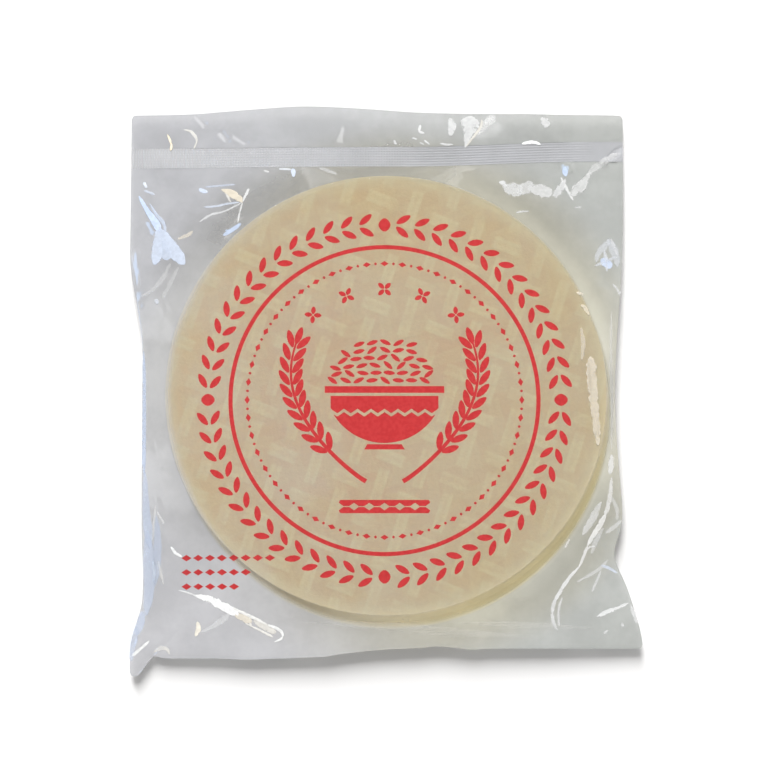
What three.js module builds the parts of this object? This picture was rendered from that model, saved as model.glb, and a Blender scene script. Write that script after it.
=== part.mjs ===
// A sealed clear plastic bag that holds a stack of round rice paper sheets, lying on its back.
// The bag is modelled as the one closed solid that its film encloses: the flat disc that it rests
// on, the stack's round top, the film that slopes from the stack's rims out to the bag's edges,
// and, above the stack, the ribbed heat seal with the plain header flap.
// Units are millimetres. +X is to the right of the bag's front, +Y towards the heat seal, +Z up.

import * as THREE from 'three';

// ---- Driving dimensions --------------------------------------------------------------------

// The stack: round sheets of one size, pushed over a little towards the bag's lower right corner.
const STACK = {
  radius: 90,
  height: 18,
  topCentre: [0.8, -4.9],
  baseCentre: [2.9, -10.0],
  rimBead: 0.4,
  rimBeadWidth: 4,
  rimRound: 1.0,
};

// The film is drawn thicker than it is, so that the bag's edge is a solid.
const EDGE_THICKNESS = 0.8;

// The bag's edges float at half the stack's height beside the stack and droop away from it.
const EDGE_HEIGHT = { near: 9.3, far: 3.2, reach: 34 };

// Each edge of the bag is a straight line that is bent by flares (steps) and pinches (dips).
// A flare is [start, end, amount] and a pinch is [centre, half width, amount], outwards positive.
const LEFT_EDGE = { at: -99.5, flares: [[12, 54, 5.8], [-88, -112, 4.2]], pinches: [[-80, 12, -0.8]] };
const RIGHT_EDGE = { at: 99.8, flares: [[-78, -105, 4.2]], pinches: [[-12, 38, -4.0], [-74, 7, -3.4]] };
const TOP_EDGE = { at: 112, flares: [], pinches: [[-16, 42, 4.1], [50, 30, 1.2]] };
const BOTTOM_EDGE = {
  at: -108.8,
  flares: [[10, -42, 3.6]],
  pinches: [[-101.3, 3.6, 7.6], [-56, 8, 0.5], [8, 9, 0.6], [36, 5, 0.5], [-94, 3, -0.9]],
};
const CORNER_RADIUS = 1.8;

// The heat seal is a band across the bag that two ribbed jaws have pressed. From its lower border
// upwards it has upright ribs, two long ridges and upright ribs again.
const SEAL = {
  leftY: 90.5,
  rise: [10, 90, 2.8],
  height: 8.4,
  ribPitch: 3.2,
  ribDepth: 0.5,
  ridgeDepth: 0.3,
};

// Long folds in the front film: [from x, y, to x, y, half width, height].
const FILM_FOLDS = [
  [-103, 82, -91, 62, 3.0, 1.6],
  [-95, 60, -84, 55, 5.0, 2.0],
  [-74, 84, -57, 74, 3.5, 1.4],
  [50, 90, 78, 74, 6.0, 2.4],
  [88, 66, 96, 50, 3.0, 1.4],
  [94, -44, 84, -80, 2.6, 1.3],
  [84, -80, 73, -100, 2.6, 1.6],
  [-79, -88, -42, -106, 3.0, 1.6],
  [-98, -44, -96, -86, 2.4, 1.0],
  [34, -104, 62, -96, 4.0, 1.2],
];

// The header flap hangs in shallow waves: [wavelength, depth, phase].
const HEADER_WAVES = [[70, 0.7, 0.6], [31, 0.35, 2.1]];

// ---- How finely the surfaces are split -----------------------------------------------------

const SIDE_STEPS = 36;
const BOTTOM_STEPS = 44;
const EAR_STEPS = 8;
const HEADER_COLUMNS = 40;
const HEADER_ROWS = 4;
const FRONT_RINGS = 6;
const BACK_RINGS = 3;

const FILM_COLOUR = 0xd9dcdc;

// ---- Small helpers -------------------------------------------------------------------------

const { lerp, smoothstep, clamp } = THREE.MathUtils;

const bell = (distance, halfWidth) => Math.exp(-((distance / halfWidth) ** 2));

// 0 at start, 1 at end, and smooth between, whichever of the two is larger.
function step(value, start, end) {
  return smoothstep((value - start) / (end - start), 0, 1);
}

function edgeLine(edge, along, outward) {
  let offset = 0;
  for (const [start, end, amount] of edge.flares) {
    offset += amount * step(along, start, end);
  }
  for (const [centre, halfWidth, amount] of edge.pinches) {
    offset += amount * bell(along - centre, halfWidth);
  }
  return edge.at + outward * offset;
}

// How far a rounded corner cuts back an edge, at a distance from the neighbouring edge.
function cornerCut(distance) {
  const inside = CORNER_RADIUS - clamp(distance, 0, CORNER_RADIUS);
  return CORNER_RADIUS - Math.sqrt(CORNER_RADIUS ** 2 - inside ** 2);
}

const leftX = (y) => edgeLine(LEFT_EDGE, y, -1);
const rightX = (y) => edgeLine(RIGHT_EDGE, y, 1);

function topY(x) {
  const plain = edgeLine(TOP_EDGE, x, 1);
  return plain - cornerCut(x - leftX(plain)) - cornerCut(rightX(plain) - x);
}

function bottomY(x) {
  const plain = edgeLine(BOTTOM_EDGE, x, -1);
  return plain + cornerCut(x - leftX(plain)) + cornerCut(rightX(plain) - x);
}

// The seal's lower border, which climbs a little on the right.
function sealY(x) {
  const [start, end, rise] = SEAL.rise;
  return SEAL.leftY + rise * step(x, start, end);
}

// The height of the bag's edge, and of the header flap, over the ground.
function edgeHeight(x, y) {
  const middle = [
    (STACK.topCentre[0] + STACK.baseCentre[0]) / 2,
    (STACK.topCentre[1] + STACK.baseCentre[1]) / 2,
  ];
  const clear = Math.max(0, Math.hypot(x - middle[0], y - middle[1]) - STACK.radius);
  return lerp(EDGE_HEIGHT.far, EDGE_HEIGHT.near, bell(clear, EDGE_HEIGHT.reach));
}

function headerWave(x, y) {
  const grown = step(y, sealY(x) + SEAL.height, topY(0));
  let height = 0;
  for (const [wavelength, depth, phase] of HEADER_WAVES) {
    height += depth * Math.sin((2 * Math.PI * x) / wavelength + phase);
  }
  return height * grown;
}

function distanceToSegment(x, y, [x0, y0, x1, y1]) {
  const length2 = (x1 - x0) ** 2 + (y1 - y0) ** 2;
  const t = clamp(((x - x0) * (x1 - x0) + (y - y0) * (y1 - y0)) / length2, 0, 1);
  return Math.hypot(x - lerp(x0, x1, t), y - lerp(y0, y1, t));
}

function foldHeight(x, y) {
  let height = 0;
  for (const fold of FILM_FOLDS) {
    const [halfWidth, amount] = fold.slice(4);
    height += amount * bell(distanceToSegment(x, y, fold), halfWidth);
  }
  return height;
}

// ---- The mesh that the sub-parts add to ----------------------------------------------------

const positions = [];
const triangles = [];

function vertex(x, y, z) {
  positions.push(x, y, z);
  return positions.length / 3 - 1;
}

function planOf(index) {
  return [positions[3 * index], positions[3 * index + 1]];
}

// Adds a triangle, turned over where it belongs to an underside.
function triangle(a, b, c, underside = false) {
  triangles.push(a, ...(underside ? [c, b] : [b, c]));
}

// Joins two rows of vertices that run side by side, the first on the right of the second.
// Where their counts differ, measure gives each vertex its place along the rows.
function strip(near, far, measure, underside = false) {
  let i = 0;
  let j = 0;
  while (i < near.length - 1 || j < far.length - 1) {
    const nearNext = i < near.length - 1 ? measure(near, i + 1) : Infinity;
    const farNext = j < far.length - 1 ? measure(far, j + 1) : Infinity;
    if (nearNext <= farNext) {
      triangle(near[i], near[i + 1], far[j], underside);
      i += 1;
    } else {
      triangle(near[i], far[j + 1], far[j], underside);
      j += 1;
    }
  }
}

const byCount = (row, i) => i / (row.length - 1);
const byX = (row, i) => positions[3 * row[i]];
const byY = (row, i) => positions[3 * row[i] + 1];

const closed = (row) => [...row, row[0]];

// ---- The bag's outline in plan, below the heat seal ----------------------------------------

// Where along an edge the vertices are: close together round the two corners, even between.
function stations(from, to, steps) {
  const direction = Math.sign(to - from);
  const corner = [0, 0.2 * CORNER_RADIUS, 0.5 * CORNER_RADIUS, CORNER_RADIUS];
  const list = corner.map((distance) => from + direction * distance);
  const start = list.pop();
  const end = to - direction * CORNER_RADIUS;
  for (let i = 0; i <= steps; i += 1) {
    list.push(lerp(start, end, i / steps));
  }
  list.push(...corner.slice(0, -1).reverse().map((distance) => to - direction * distance));
  return list;
}

// The bottom edge's stations, with more of them round the ear at the lower left corner.
function bottomStations() {
  const earEnd = -90;
  const left = leftX(BOTTOM_EDGE.at - 8);
  const ear = stations(left, earEnd, EAR_STEPS).filter((x) => x < earEnd - CORNER_RADIUS);
  const right = rightX(BOTTOM_EDGE.at);
  const rest = stations(earEnd - CORNER_RADIUS, right, BOTTOM_STEPS).slice(3);
  return [...ear, ...rest];
}

// Anticlockwise from the seal's left end, down, along the bottom and up to its right end.
function lowerOutline() {
  const points = [];
  const leftFoot = bottomY(leftX(BOTTOM_EDGE.at - 8));
  const rightFoot = bottomY(rightX(BOTTOM_EDGE.at));
  for (let i = 0; i < SIDE_STEPS; i += 1) {
    const y = lerp(sealY(-100), leftFoot, i / SIDE_STEPS);
    points.push([leftX(y), y]);
  }
  for (const x of bottomStations()) {
    points.push([x, bottomY(x)]);
  }
  for (let i = 1; i <= SIDE_STEPS; i += 1) {
    const y = lerp(rightFoot, sealY(100), i / SIDE_STEPS);
    points.push([rightX(y), y]);
  }
  return points;
}

// The seal's lower border from right to left, without its two ends.
function sealLine() {
  const points = [];
  const left = leftX(sealY(-100));
  const right = rightX(sealY(100));
  for (let i = HEADER_COLUMNS - 1; i > 0; i -= 1) {
    const x = lerp(left, right, i / HEADER_COLUMNS);
    points.push([x, sealY(x)]);
  }
  return points;
}

// ---- Sub-parts -----------------------------------------------------------------------------

function rimPoint(centre, radius, [x, y]) {
  const angle = Math.atan2(y - centre[1], x - centre[0]);
  return [centre[0] + radius * Math.cos(angle), centre[1] + radius * Math.sin(angle)];
}

// The front film over the stack's flat top: a flat middle, the raised bead that the sheets'
// thick rims make, and a rounded rim. Returns the rim's row of vertices.
function stackTop(outline) {
  const { radius, height, topCentre, rimBead, rimBeadWidth, rimRound } = STACK;
  const profile = [
    [radius / 2, 0],
    [radius - rimBeadWidth - rimRound, 0],
    [radius - rimBeadWidth / 2 - rimRound, rimBead],
    [radius - rimRound, rimBead],
    [radius, -rimRound],
  ];
  const middle = vertex(topCentre[0], topCentre[1], height);
  let inner = null;
  for (const [ringRadius, rise] of profile) {
    const ring = outline.map((point) => vertex(...rimPoint(topCentre, ringRadius, point), height + rise));
    if (inner) {
      strip(closed(ring), closed(inner), byCount);
    } else {
      ring.forEach((a, i) => triangle(middle, a, ring[(i + 1) % ring.length]));
    }
    inner = ring;
  }
  return inner;
}

// The flat disc of back film that the bag rests on. Returns its rim's row of vertices.
function restingDisc(outline) {
  const { radius, baseCentre } = STACK;
  const middle = vertex(...baseCentre, 0);
  const rim = outline.map((point) => vertex(...rimPoint(baseCentre, radius, point), 0));
  rim.forEach((a, i) => triangle(middle, a, rim[(i + 1) % rim.length], true));
  return rim;
}

// The front film between the stack's top rim and the bag's edge. It sags more where it is wide.
function frontFilm(outline, rim) {
  const rimHeight = STACK.height - STACK.rimRound;
  let inner = rim;
  for (let ring = 1; ring <= FRONT_RINGS; ring += 1) {
    const t = ring / FRONT_RINGS;
    const row = outline.map((point, i) => {
      const [rimX, rimY] = planOf(rim[i]);
      const [x, y] = [lerp(rimX, point[0], t), lerp(rimY, point[1], t)];
      const span = Math.hypot(point[0] - rimX, point[1] - rimY);
      const edge = edgeHeight(...point) + EDGE_THICKNESS / 2;
      const sag = 1 + 0.7 * step(span, 8, 50);
      const room = Math.sin(Math.PI * t);
      return vertex(x, y, edge + (rimHeight - edge) * (1 - t) ** sag + room * foldHeight(x, y));
    });
    strip(closed(row), closed(inner), byCount);
    inner = row;
  }
  return inner;
}

// The back film between the resting disc and the bag's edge, hollowed where it is wide.
function backFilm(outline, rim) {
  let inner = rim;
  for (let ring = 1; ring <= BACK_RINGS; ring += 1) {
    const t = ring / BACK_RINGS;
    const row = outline.map((point, i) => {
      const [rimX, rimY] = planOf(rim[i]);
      const edge = edgeHeight(...point) - EDGE_THICKNESS / 2;
      return vertex(lerp(rimX, point[0], t), lerp(rimY, point[1], t), edge * t ** 1.2);
    });
    strip(closed(row), closed(inner), byCount, true);
    inner = row;
  }
  return inner;
}

// One row of vertices across the bag, at the places xs. yOf gives the row's line in plan.
// side is +1 for the front face and -1 for the back face.
function headerRow(xs, yOf, side, relief) {
  return xs.map((x, i) => {
    const y = yOf(x);
    const middle = edgeHeight(x, y) + headerWave(x, y);
    return vertex(x, y, middle + side * (EDGE_THICKNESS / 2 + relief(i)));
  });
}

const flat = () => 0;

// The heat seal's ribs and ridges on the front face. Returns its rows, lowest first.
function sealFront() {
  const [left, right] = [leftX(SEAL.leftY), rightX(SEAL.leftY)];
  const columns = 2 * Math.round((right - left) / SEAL.ribPitch);
  const xs = Array.from({ length: columns + 1 }, (_, i) => lerp(left, right, i / columns));
  const ribs = (i) => (i % 2 ? SEAL.ribDepth : 0);
  const ridge = () => SEAL.ridgeDepth;
  const profile = [
    [0.04, flat],
    [0.09, ribs],
    [0.34, ribs],
    [0.4, flat],
    [0.5, ridge],
    [0.6, flat],
    [0.66, ribs],
    [0.91, ribs],
    [0.96, flat],
  ];
  return profile.map(([share, relief]) => {
    const line = (x) => sealY(x) + share * SEAL.height;
    return headerRow(xs, line, 1, relief);
  });
}

// The plain flap above the seal, on one face. Returns its rows, lowest first.
function flapRows(side) {
  const xs = stations(leftX(TOP_EDGE.at), rightX(TOP_EDGE.at), HEADER_COLUMNS);
  const rows = [];
  for (let i = 0; i <= HEADER_ROWS; i += 1) {
    const line = (x) => lerp(sealY(x) + SEAL.height, topY(x), i / HEADER_ROWS);
    rows.push(headerRow(xs, line, side, flat));
  }
  return rows;
}

// The seal and the flap: both faces, and the bag's edge round them.
function header(frontLine, backLine) {
  const front = [frontLine, ...sealFront(), ...flapRows(1)];
  const back = [backLine, ...flapRows(-1)];
  for (let i = 1; i < front.length; i += 1) {
    strip(front[i - 1], front[i], byX);
  }
  for (let i = 1; i < back.length; i += 1) {
    strip(back[i - 1], back[i], byX, true);
  }
  const ends = (rows, end) => rows.map((row) => row.at(end));
  const up = (row, i) => byY(row, i);
  const down = (row, i) => -byY(row, i);
  const leftwards = (row, i) => -byX(row, i);
  strip(ends(back, -1), ends(front, -1), up);
  strip(back.at(-1).toReversed(), front.at(-1).toReversed(), leftwards);
  strip(ends(back, 0).reverse(), ends(front, 0).reverse(), down);
}

// ---- The whole bag -------------------------------------------------------------------------

function bagGeometry() {
  const lower = lowerOutline();
  const outline = [...lower, ...sealLine()];
  const frontEdge = frontFilm(outline, stackTop(outline));
  const backEdge = backFilm(outline, restingDisc(outline));
  strip(backEdge.slice(0, lower.length), frontEdge.slice(0, lower.length), byCount);

  // The seal's lower border from left to right: the outline's first point and then backwards.
  const borderOf = (row) => [row[0], ...row.slice(lower.length - 1).reverse()];
  header(borderOf(frontEdge), borderOf(backEdge));

  const geometry = new THREE.BufferGeometry();
  geometry.setAttribute('position', new THREE.Float32BufferAttribute(positions, 3));
  geometry.setIndex(triangles);
  geometry.computeBoundingBox();
  const centre = geometry.boundingBox.getCenter(new THREE.Vector3());
  geometry.translate(-centre.x, -centre.y, 0);
  geometry.computeVertexNormals();
  return geometry;
}

const film = new THREE.MeshStandardMaterial({ color: FILM_COLOUR, roughness: 0.25, metalness: 0 });
const bag = new THREE.Mesh(bagGeometry(), film);
bag.name = 'sealed_bag';

const group = new THREE.Group();
group.name = 'rice_paper_bag';
group.add(bag);

export default group;
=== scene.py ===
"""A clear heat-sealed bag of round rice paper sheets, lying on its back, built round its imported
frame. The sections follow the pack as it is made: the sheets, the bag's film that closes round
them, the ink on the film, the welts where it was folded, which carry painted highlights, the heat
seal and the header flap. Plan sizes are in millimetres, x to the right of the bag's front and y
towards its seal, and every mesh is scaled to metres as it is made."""

import math

import bpy
import numpy as np
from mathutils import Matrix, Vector
from mathutils.bvhtree import BVHTree


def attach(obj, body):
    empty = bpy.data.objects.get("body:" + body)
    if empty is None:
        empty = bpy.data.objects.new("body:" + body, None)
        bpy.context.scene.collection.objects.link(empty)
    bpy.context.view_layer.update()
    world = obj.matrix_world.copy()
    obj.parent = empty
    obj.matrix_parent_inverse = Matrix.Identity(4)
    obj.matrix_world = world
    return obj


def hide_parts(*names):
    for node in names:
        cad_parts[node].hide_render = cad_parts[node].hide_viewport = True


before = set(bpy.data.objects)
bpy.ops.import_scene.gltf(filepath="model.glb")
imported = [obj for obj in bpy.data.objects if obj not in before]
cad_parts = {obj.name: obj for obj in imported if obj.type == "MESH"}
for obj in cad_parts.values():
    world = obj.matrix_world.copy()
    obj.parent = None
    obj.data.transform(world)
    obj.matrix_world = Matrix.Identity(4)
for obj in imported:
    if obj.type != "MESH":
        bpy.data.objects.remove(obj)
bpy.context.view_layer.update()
scene = bpy.context.scene


# ---- The rice paper sheets ------------------------------------------------------------------
# About sixty round sheets of dried rice starch batter, each some 0.2 mm thick. They dry on woven
# bamboo mats, which leave a basket pattern of raised strips in each face, and shrink to a thicker,
# smoother and paler rim. They lie loosely on one another, and the pile leans: its top is over
# towards the seal and its foot towards the bag's lower right corner.

MM = 0.001
PLAN_CENTRE = np.array((-0.65, -1.94))     # the frame's origin in the bag's plan

STACK_RADIUS = 90.0
STACK_HEIGHT = 18.0
STACK_TOP = np.array((0.8, -4.9))
STACK_FOOT = np.array((2.9, -10.0))
SHEET_COUNT = 58
SHEET_PITCH = STACK_HEIGHT / SHEET_COUNT
SHEET_THICKNESS = 0.2
TOP_SHEET_DROP = 0.24
SHEET_TILT = 0.0006
RIM_WIDTH = 3.6
BEAD_FROM_RIM = 1.7

# The mat's basket repeat: both steps from one long strip to the next, and its two strips, each as
# (place of its middle, direction in degrees, length, width).
MAT_STEPS = np.array(((17.96, 8.16), (7.96, -17.96)))
MAT_INVERSE = np.linalg.inv(MAT_STEPS.T)
MAT_STRIPS = (((7.0, -12.4), 72.6, 16.4, 4.5), ((11.8, 0.3), -21.5, 11.6, 4.9))
MAT_RELIEF = 0.14

CREAM = (0.675, 0.462, 0.278, 1)
CREAM_PATCHES = (0.67, 0.488, 0.286, 1)
CREAM_OUTER = (0.667, 0.497, 0.279, 1)
GOLDEN_LEFT = (0.75, 0.54, 0.29, 1)
PALE_STRIPS = (0.74, 0.63, 0.37, 1)
STRIPS_BELOW = (0.72, 0.60, 0.34, 1)
BROWN_GRAIN = (0.50, 0.38, 0.22, 1)
PALE_RIM = (0.72, 0.63, 0.40, 1)
# The pile's side and foot colours below hold painted light.
PALE_SIDE_AND_PAINTED_LIGHT = (0.88, 0.75, 0.48, 1)
FOOT_PAINTED_LIGHT = (0.92, 0.84, 0.56, 1)


def step(value, start, end):
    """0 at start and 1 at end, smooth between them."""
    t = np.clip((value - start) / (end - start), 0.0, 1.0)
    return t * t * (3.0 - 2.0 * t)


def bell(distance, half_width):
    """1 at no distance, falling away smoothly on both sides."""
    return np.exp(-((distance / half_width) ** 2))


def in_frame(place):
    """A place in plan as a point of the frame, for a material."""
    return (*(MM * (np.array(place) - PLAN_CENTRE)), 0.0)


def new_object(name, points, faces, smooth=True, sharp_from=None):
    """A mesh object from points in the plan's millimetres, placed in the frame's metres. Edges
    that turn by more than sharp_from degrees are left sharp."""
    points = np.asarray(points, float).copy()
    points[:, :2] -= PLAN_CENTRE
    mesh = bpy.data.meshes.new(name)
    mesh.from_pydata((points * MM).tolist(), [], [tuple(int(i) for i in f) for f in faces])
    mesh.polygons.foreach_set("use_smooth", [smooth] * len(mesh.polygons))
    mesh.update()
    if sharp_from:
        mesh.set_sharp_from_angle(angle=math.radians(sharp_from))
    piece = bpy.data.objects.new(name, mesh)
    scene.collection.objects.link(piece)
    return piece


class Shader:
    """A material's node tree, with one call for each node and its links."""

    def __init__(self, name):
        self.material = bpy.data.materials.new(name)
        self.material.use_nodes = True
        self.tree = self.material.node_tree
        self.tree.nodes.clear()

    def node(self, kind, *inputs, out=0, sockets=None, **settings):
        """Adds a node, sets its inputs in order and by name (None leaves one alone) and gives an
        output."""
        made = self.tree.nodes.new("ShaderNode" + kind)
        for key, value in settings.items():
            setattr(made, key, value)
        for key, value in [*enumerate(inputs), *(sockets or {}).items()]:
            if isinstance(value, bpy.types.NodeSocket):
                self.tree.links.new(value, made.inputs[key])
            elif value is not None:
                made.inputs[key].default_value = value
        return made.outputs[out]

    def math(self, operation, *inputs):
        return self.node("Math", *inputs, operation=operation)

    def product(self, first, *others):
        for other in others:
            first = self.math("MULTIPLY", first, other)
        return first

    def vector(self, operation, *inputs, out=0):
        return self.node("VectorMath", *inputs, operation=operation, out=out)

    def place(self):
        return self.node("TexCoord", out="Object")

    def axis(self, name):
        return self.node("SeparateXYZ", self.place(), out=name)

    def noise(self, scale, detail=3.0, roughness=0.5):
        sockets = {"Scale": scale, "Detail": detail, "Roughness": roughness}
        return self.node("TexNoise", self.place(), sockets=sockets)

    def ramp(self, value, low, high, to_low=0.0, to_high=1.0):
        """Eases from to_low, where the value is low, to to_high."""
        return self.node("MapRange", value, low, high, to_low, to_high, interpolation_type="SMOOTHSTEP")

    def mix(self, share, first, second):
        """Mixes two colours."""
        return self.node("Mix", sockets={0: share, 6: first, 7: second}, data_type="RGBA", out=2)

    def finish(self, surface):
        end = self.tree.nodes.new("ShaderNodeOutputMaterial")
        self.tree.links.new(surface, end.inputs["Surface"])
        return self.material


def headings(degrees):
    """The plan's directions along and across a strip."""
    cos, sin = math.cos(math.radians(degrees)), math.sin(math.radians(degrees))
    return np.array(((cos, sin), (-sin, cos)))


def strip_imprint(x, y):
    """1 on a mat strip's two raised edges, less along its middle and 0 beside it."""
    raised = np.zeros_like(x)
    for middle, direction, length, width in MAT_STRIPS:
        share = MAT_INVERSE @ (np.stack([x, y]) - (STACK_TOP + middle)[:, None])
        along, across = np.abs(headings(direction) @ MAT_STEPS.T @ (share - np.round(share)))
        inside = step(along - length / 2, 0.5, -0.6) * step(across, width / 2 + 0.3, width / 2 - 0.5)
        edge = bell(across - 0.33 * width, 0.75)
        raised = np.maximum(raised, inside * (0.55 + 0.45 * edge))
    return raised


def strip_marks(s, flat, shift=(0.0, 0.0, 0.0), turn=0.0):
    """The same strips in a material, moved and turned as in the sheets that show through."""
    turned = s.node("Mapping", flat, shift, (0.0, 0.0, turn))
    marks = []
    for middle, direction, length, width in MAT_STRIPS:
        away = s.vector("SUBTRACT", turned, (*(MM * np.array(middle)), 0.0))
        steps = []
        for row, base in zip(MAT_INVERSE / MM, MM * MAT_STEPS):
            share = s.vector("DOT_PRODUCT", away, (*row, 0.0), out="Value")
            near = s.math("SUBTRACT", share, s.math("ROUND", share))
            steps.append(s.node("VectorMath", (*base, 0.0), operation="SCALE", sockets={"Scale": near}))
        local = s.vector("ADD", *steps)
        along, across = (
            s.math("ABSOLUTE", s.vector("DOT_PRODUCT", local, (*heading, 0.0), out="Value"))
            for heading in headings(direction))
        ends = s.ramp(along, MM * (length / 2 + 0.8), MM * (length / 2 - 0.8))
        sides = s.ramp(across, MM * (width / 2 + 0.4), MM * (width / 2 - 0.4))
        edge = s.ramp(across, 0.0, MM * 0.33 * width, 0.62, 1.0)
        marks.append(s.product(ends, sides, edge))
    return s.math("MAXIMUM", *marks)


def rice_paper():
    """Dry rice paper: cream, a little glassy, paler where the mat raised it and at the rim."""
    s = Shader("rice_paper")
    flat = s.vector("MULTIPLY", s.vector("SUBTRACT", s.place(), in_frame(STACK_TOP)), (1.0, 1.0, 0.0))
    from_middle = s.vector("LENGTH", flat, out="Value")
    body = s.mix(s.ramp(s.noise(34.0), 0.35, 0.68), CREAM, CREAM_PATCHES)
    outer = s.ramp(from_middle, 0.4 * MM * STACK_RADIUS, 0.9 * MM * STACK_RADIUS)
    body = s.mix(outer, body, CREAM_OUTER)
    body = s.mix(s.ramp(s.axis("X"), MM * -45, MM * -85, 0.0, 0.6), body, GOLDEN_LEFT)
    # The strips of the next two sheets show through, fainter than the top sheet's own.
    below = s.math("MAXIMUM", strip_marks(s, flat, (0.006, 0.004, 0.0), 0.9),
                   strip_marks(s, flat, (-0.003, 0.007, 0.0), -0.45))
    body = s.mix(s.product(below, 0.28), body, STRIPS_BELOW)
    wear = s.ramp(s.noise(95.0), 0.3, 0.62, 0.24, 0.66)
    body = s.mix(s.product(strip_marks(s, flat), wear), body, PALE_STRIPS)
    grain = s.noise(900.0, 4.0, 0.65)
    body = s.mix(s.ramp(grain, 0.42, 0.62, 0.0, 0.16), body, BROWN_GRAIN)
    rim = s.ramp(from_middle, MM * (STACK_RADIUS - 2 * RIM_WIDTH), MM * STACK_RADIUS)
    body = s.mix(s.product(rim, 0.6), body, PALE_RIM)
    height = s.axis("Z")
    # The pile's sides: paler where the sheets are thin, and painted lighter for the light they miss.
    body = s.mix(s.ramp(height, MM * 16.5, MM * 14.5, 0.0, 0.8), body, PALE_SIDE_AND_PAINTED_LIGHT)
    # The pile's foot: painted light, paler still, as if lit.
    body = s.mix(s.ramp(height, MM * 6.0, MM * 4.5, 0.0, 0.9), body, FOOT_PAINTED_LIGHT)
    # The sheets pass light on to their sides, which shade as if they leaned up. Undersides don't.
    bump = s.node("Bump", sockets={"Strength": 0.7, "Distance": 0.0004, "Height": grain})
    facing = s.node("SeparateXYZ", s.node("NewGeometry", out="Normal"), out="Z")
    lift = s.node("CombineXYZ", 0.0, 0.0, s.ramp(facing, -0.9, -0.5))
    lifted = s.vector("NORMALIZE", s.vector("ADD", bump, lift))
    return s.finish(s.node("BsdfPrincipled", sockets={
        "Base Color": body, "Roughness": 0.52, "IOR": 1.5, "Normal": lifted,
        "Subsurface Weight": 0.18, "Subsurface Radius": (0.004, 0.003, 0.0015), "Subsurface Scale": 1.0,
    }))


PAPER = rice_paper()


def disc_rings(radii, around):
    """Plan points of rings of vertices round a middle point, the middle first."""
    angles = np.linspace(0, 2 * math.pi, around, endpoint=False)
    ring = np.stack([np.cos(angles), np.sin(angles)], 1)
    return np.concatenate([[[0.0, 0.0]], *[r * ring for r in radii]])


def disc_faces(rings, around, first=0):
    """The faces of a disc whose vertices are its middle and then its rings, outwards."""
    faces = []
    for k in range(around):
        nxt = (k + 1) % around
        faces.append((first, first + 1 + k, first + 1 + nxt))
        for ring in range(rings - 1):
            a = first + 1 + ring * around
            faces.append((a + k, a + around + k, a + around + nxt, a + nxt))
    return faces


def lens_faces(around, rings_above, rings_below):
    """The faces of a closed round piece: a disc above, a disc below and the rim between them."""
    below = 1 + rings_above * around
    faces = disc_faces(rings_above, around)
    faces += [face[::-1] for face in disc_faces(rings_below, around, below)]
    upper, lower = below - around, below + 1 + (rings_below - 1) * around
    for k in range(around):
        nxt = (k + 1) % around
        faces.append((upper + k, lower + k, lower + nxt, upper + nxt))
    return faces


def top_sheet():
    """The uppermost sheet, a little warped, with the mat's relief in its mesh."""
    around = 420
    radii = [*np.linspace(1.2, STACK_RADIUS - 0.9, 92), *(STACK_RADIUS - np.array([0.5, 0.2, 0.0]))]
    plan = disc_rings(radii, around)
    share = np.hypot(*plan.T) / STACK_RADIUS
    r = share * STACK_RADIUS
    x, y = (plan + STACK_TOP).T
    angle = np.arctan2(plan[:, 1], plan[:, 0])
    warp = 0.12 * np.sin(3 * angle + 0.7) * share**2 + 0.08 * np.sin(7 * angle) * share**6
    middle = STACK_HEIGHT - TOP_SHEET_DROP + 0.6 * warp
    bead = 0.16 * bell(r - (STACK_RADIUS - BEAD_FROM_RIM), 1.5)
    rounding = 0.11 * step(r, STACK_RADIUS - 0.5, STACK_RADIUS)
    relief = MAT_RELIEF * step(r, STACK_RADIUS - RIM_WIDTH, STACK_RADIUS - RIM_WIDTH - 2.5)
    upper = middle + bead - rounding + relief * strip_imprint(x, y)
    lower = middle - SHEET_THICKNESS + rounding
    points = np.concatenate([np.column_stack([x, y, upper]), np.column_stack([x, y, lower])])
    return new_object("top_sheet", points, lens_faces(around, len(radii), len(radii)))


def geometry_tree(name, inputs):
    """A Geometry Nodes tree with named inputs, given as {name: kind}, and the inputs' sockets."""
    tree = bpy.data.node_groups.new(name, "GeometryNodeTree")
    for label, kind in {"Geometry": "Geometry", **inputs}.items():
        tree.interface.new_socket(label, in_out="INPUT", socket_type="NodeSocket" + kind)
    tree.interface.new_socket("Geometry", in_out="OUTPUT", socket_type="NodeSocketGeometry")
    return tree, tree.nodes.new("NodeGroupInput").outputs


def tree_node(tree, kind, inputs, out=0, **settings):
    """Adds a node to a tree, sets or links its inputs and gives an output."""
    made = tree.nodes.new(kind)
    for key, value in settings.items():
        setattr(made, key, value)
    for key, value in inputs.items():
        if isinstance(value, bpy.types.NodeSocket):
            tree.links.new(value, made.inputs[key])
        else:
            made.inputs[key].default_value = value
    return made.outputs[out]


def end_tree(tree, geometry, material):
    """Ends a Geometry Nodes tree: its instances are made real and its material is set."""
    real = tree_node(tree, "GeometryNodeRealizeInstances", {"Geometry": geometry})
    painted = tree_node(tree, "GeometryNodeSetMaterial", {"Geometry": real, "Material": material})
    tree.links.new(painted, tree.nodes.new("NodeGroupOutput").inputs["Geometry"])
    return tree


def grown(name, tree, source, values):
    """The mesh that a Geometry Nodes tree makes from a source, as an object with no modifier."""
    piece = bpy.data.objects.new(name, source)
    scene.collection.objects.link(piece)
    modifier = piece.modifiers.new(name, "NODES")
    modifier.node_group = tree
    for socket in tree.interface.items_tree:
        if socket.in_out == "INPUT" and socket.name in values:
            modifier[socket.identifier] = values[socket.name]
    bpy.context.view_layer.update()
    graph = bpy.context.evaluated_depsgraph_get()
    mesh = bpy.data.meshes.new_from_object(piece.evaluated_get(graph), depsgraph=graph)
    piece.modifiers.clear()
    piece.data = mesh
    mesh.name = name
    return piece


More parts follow.
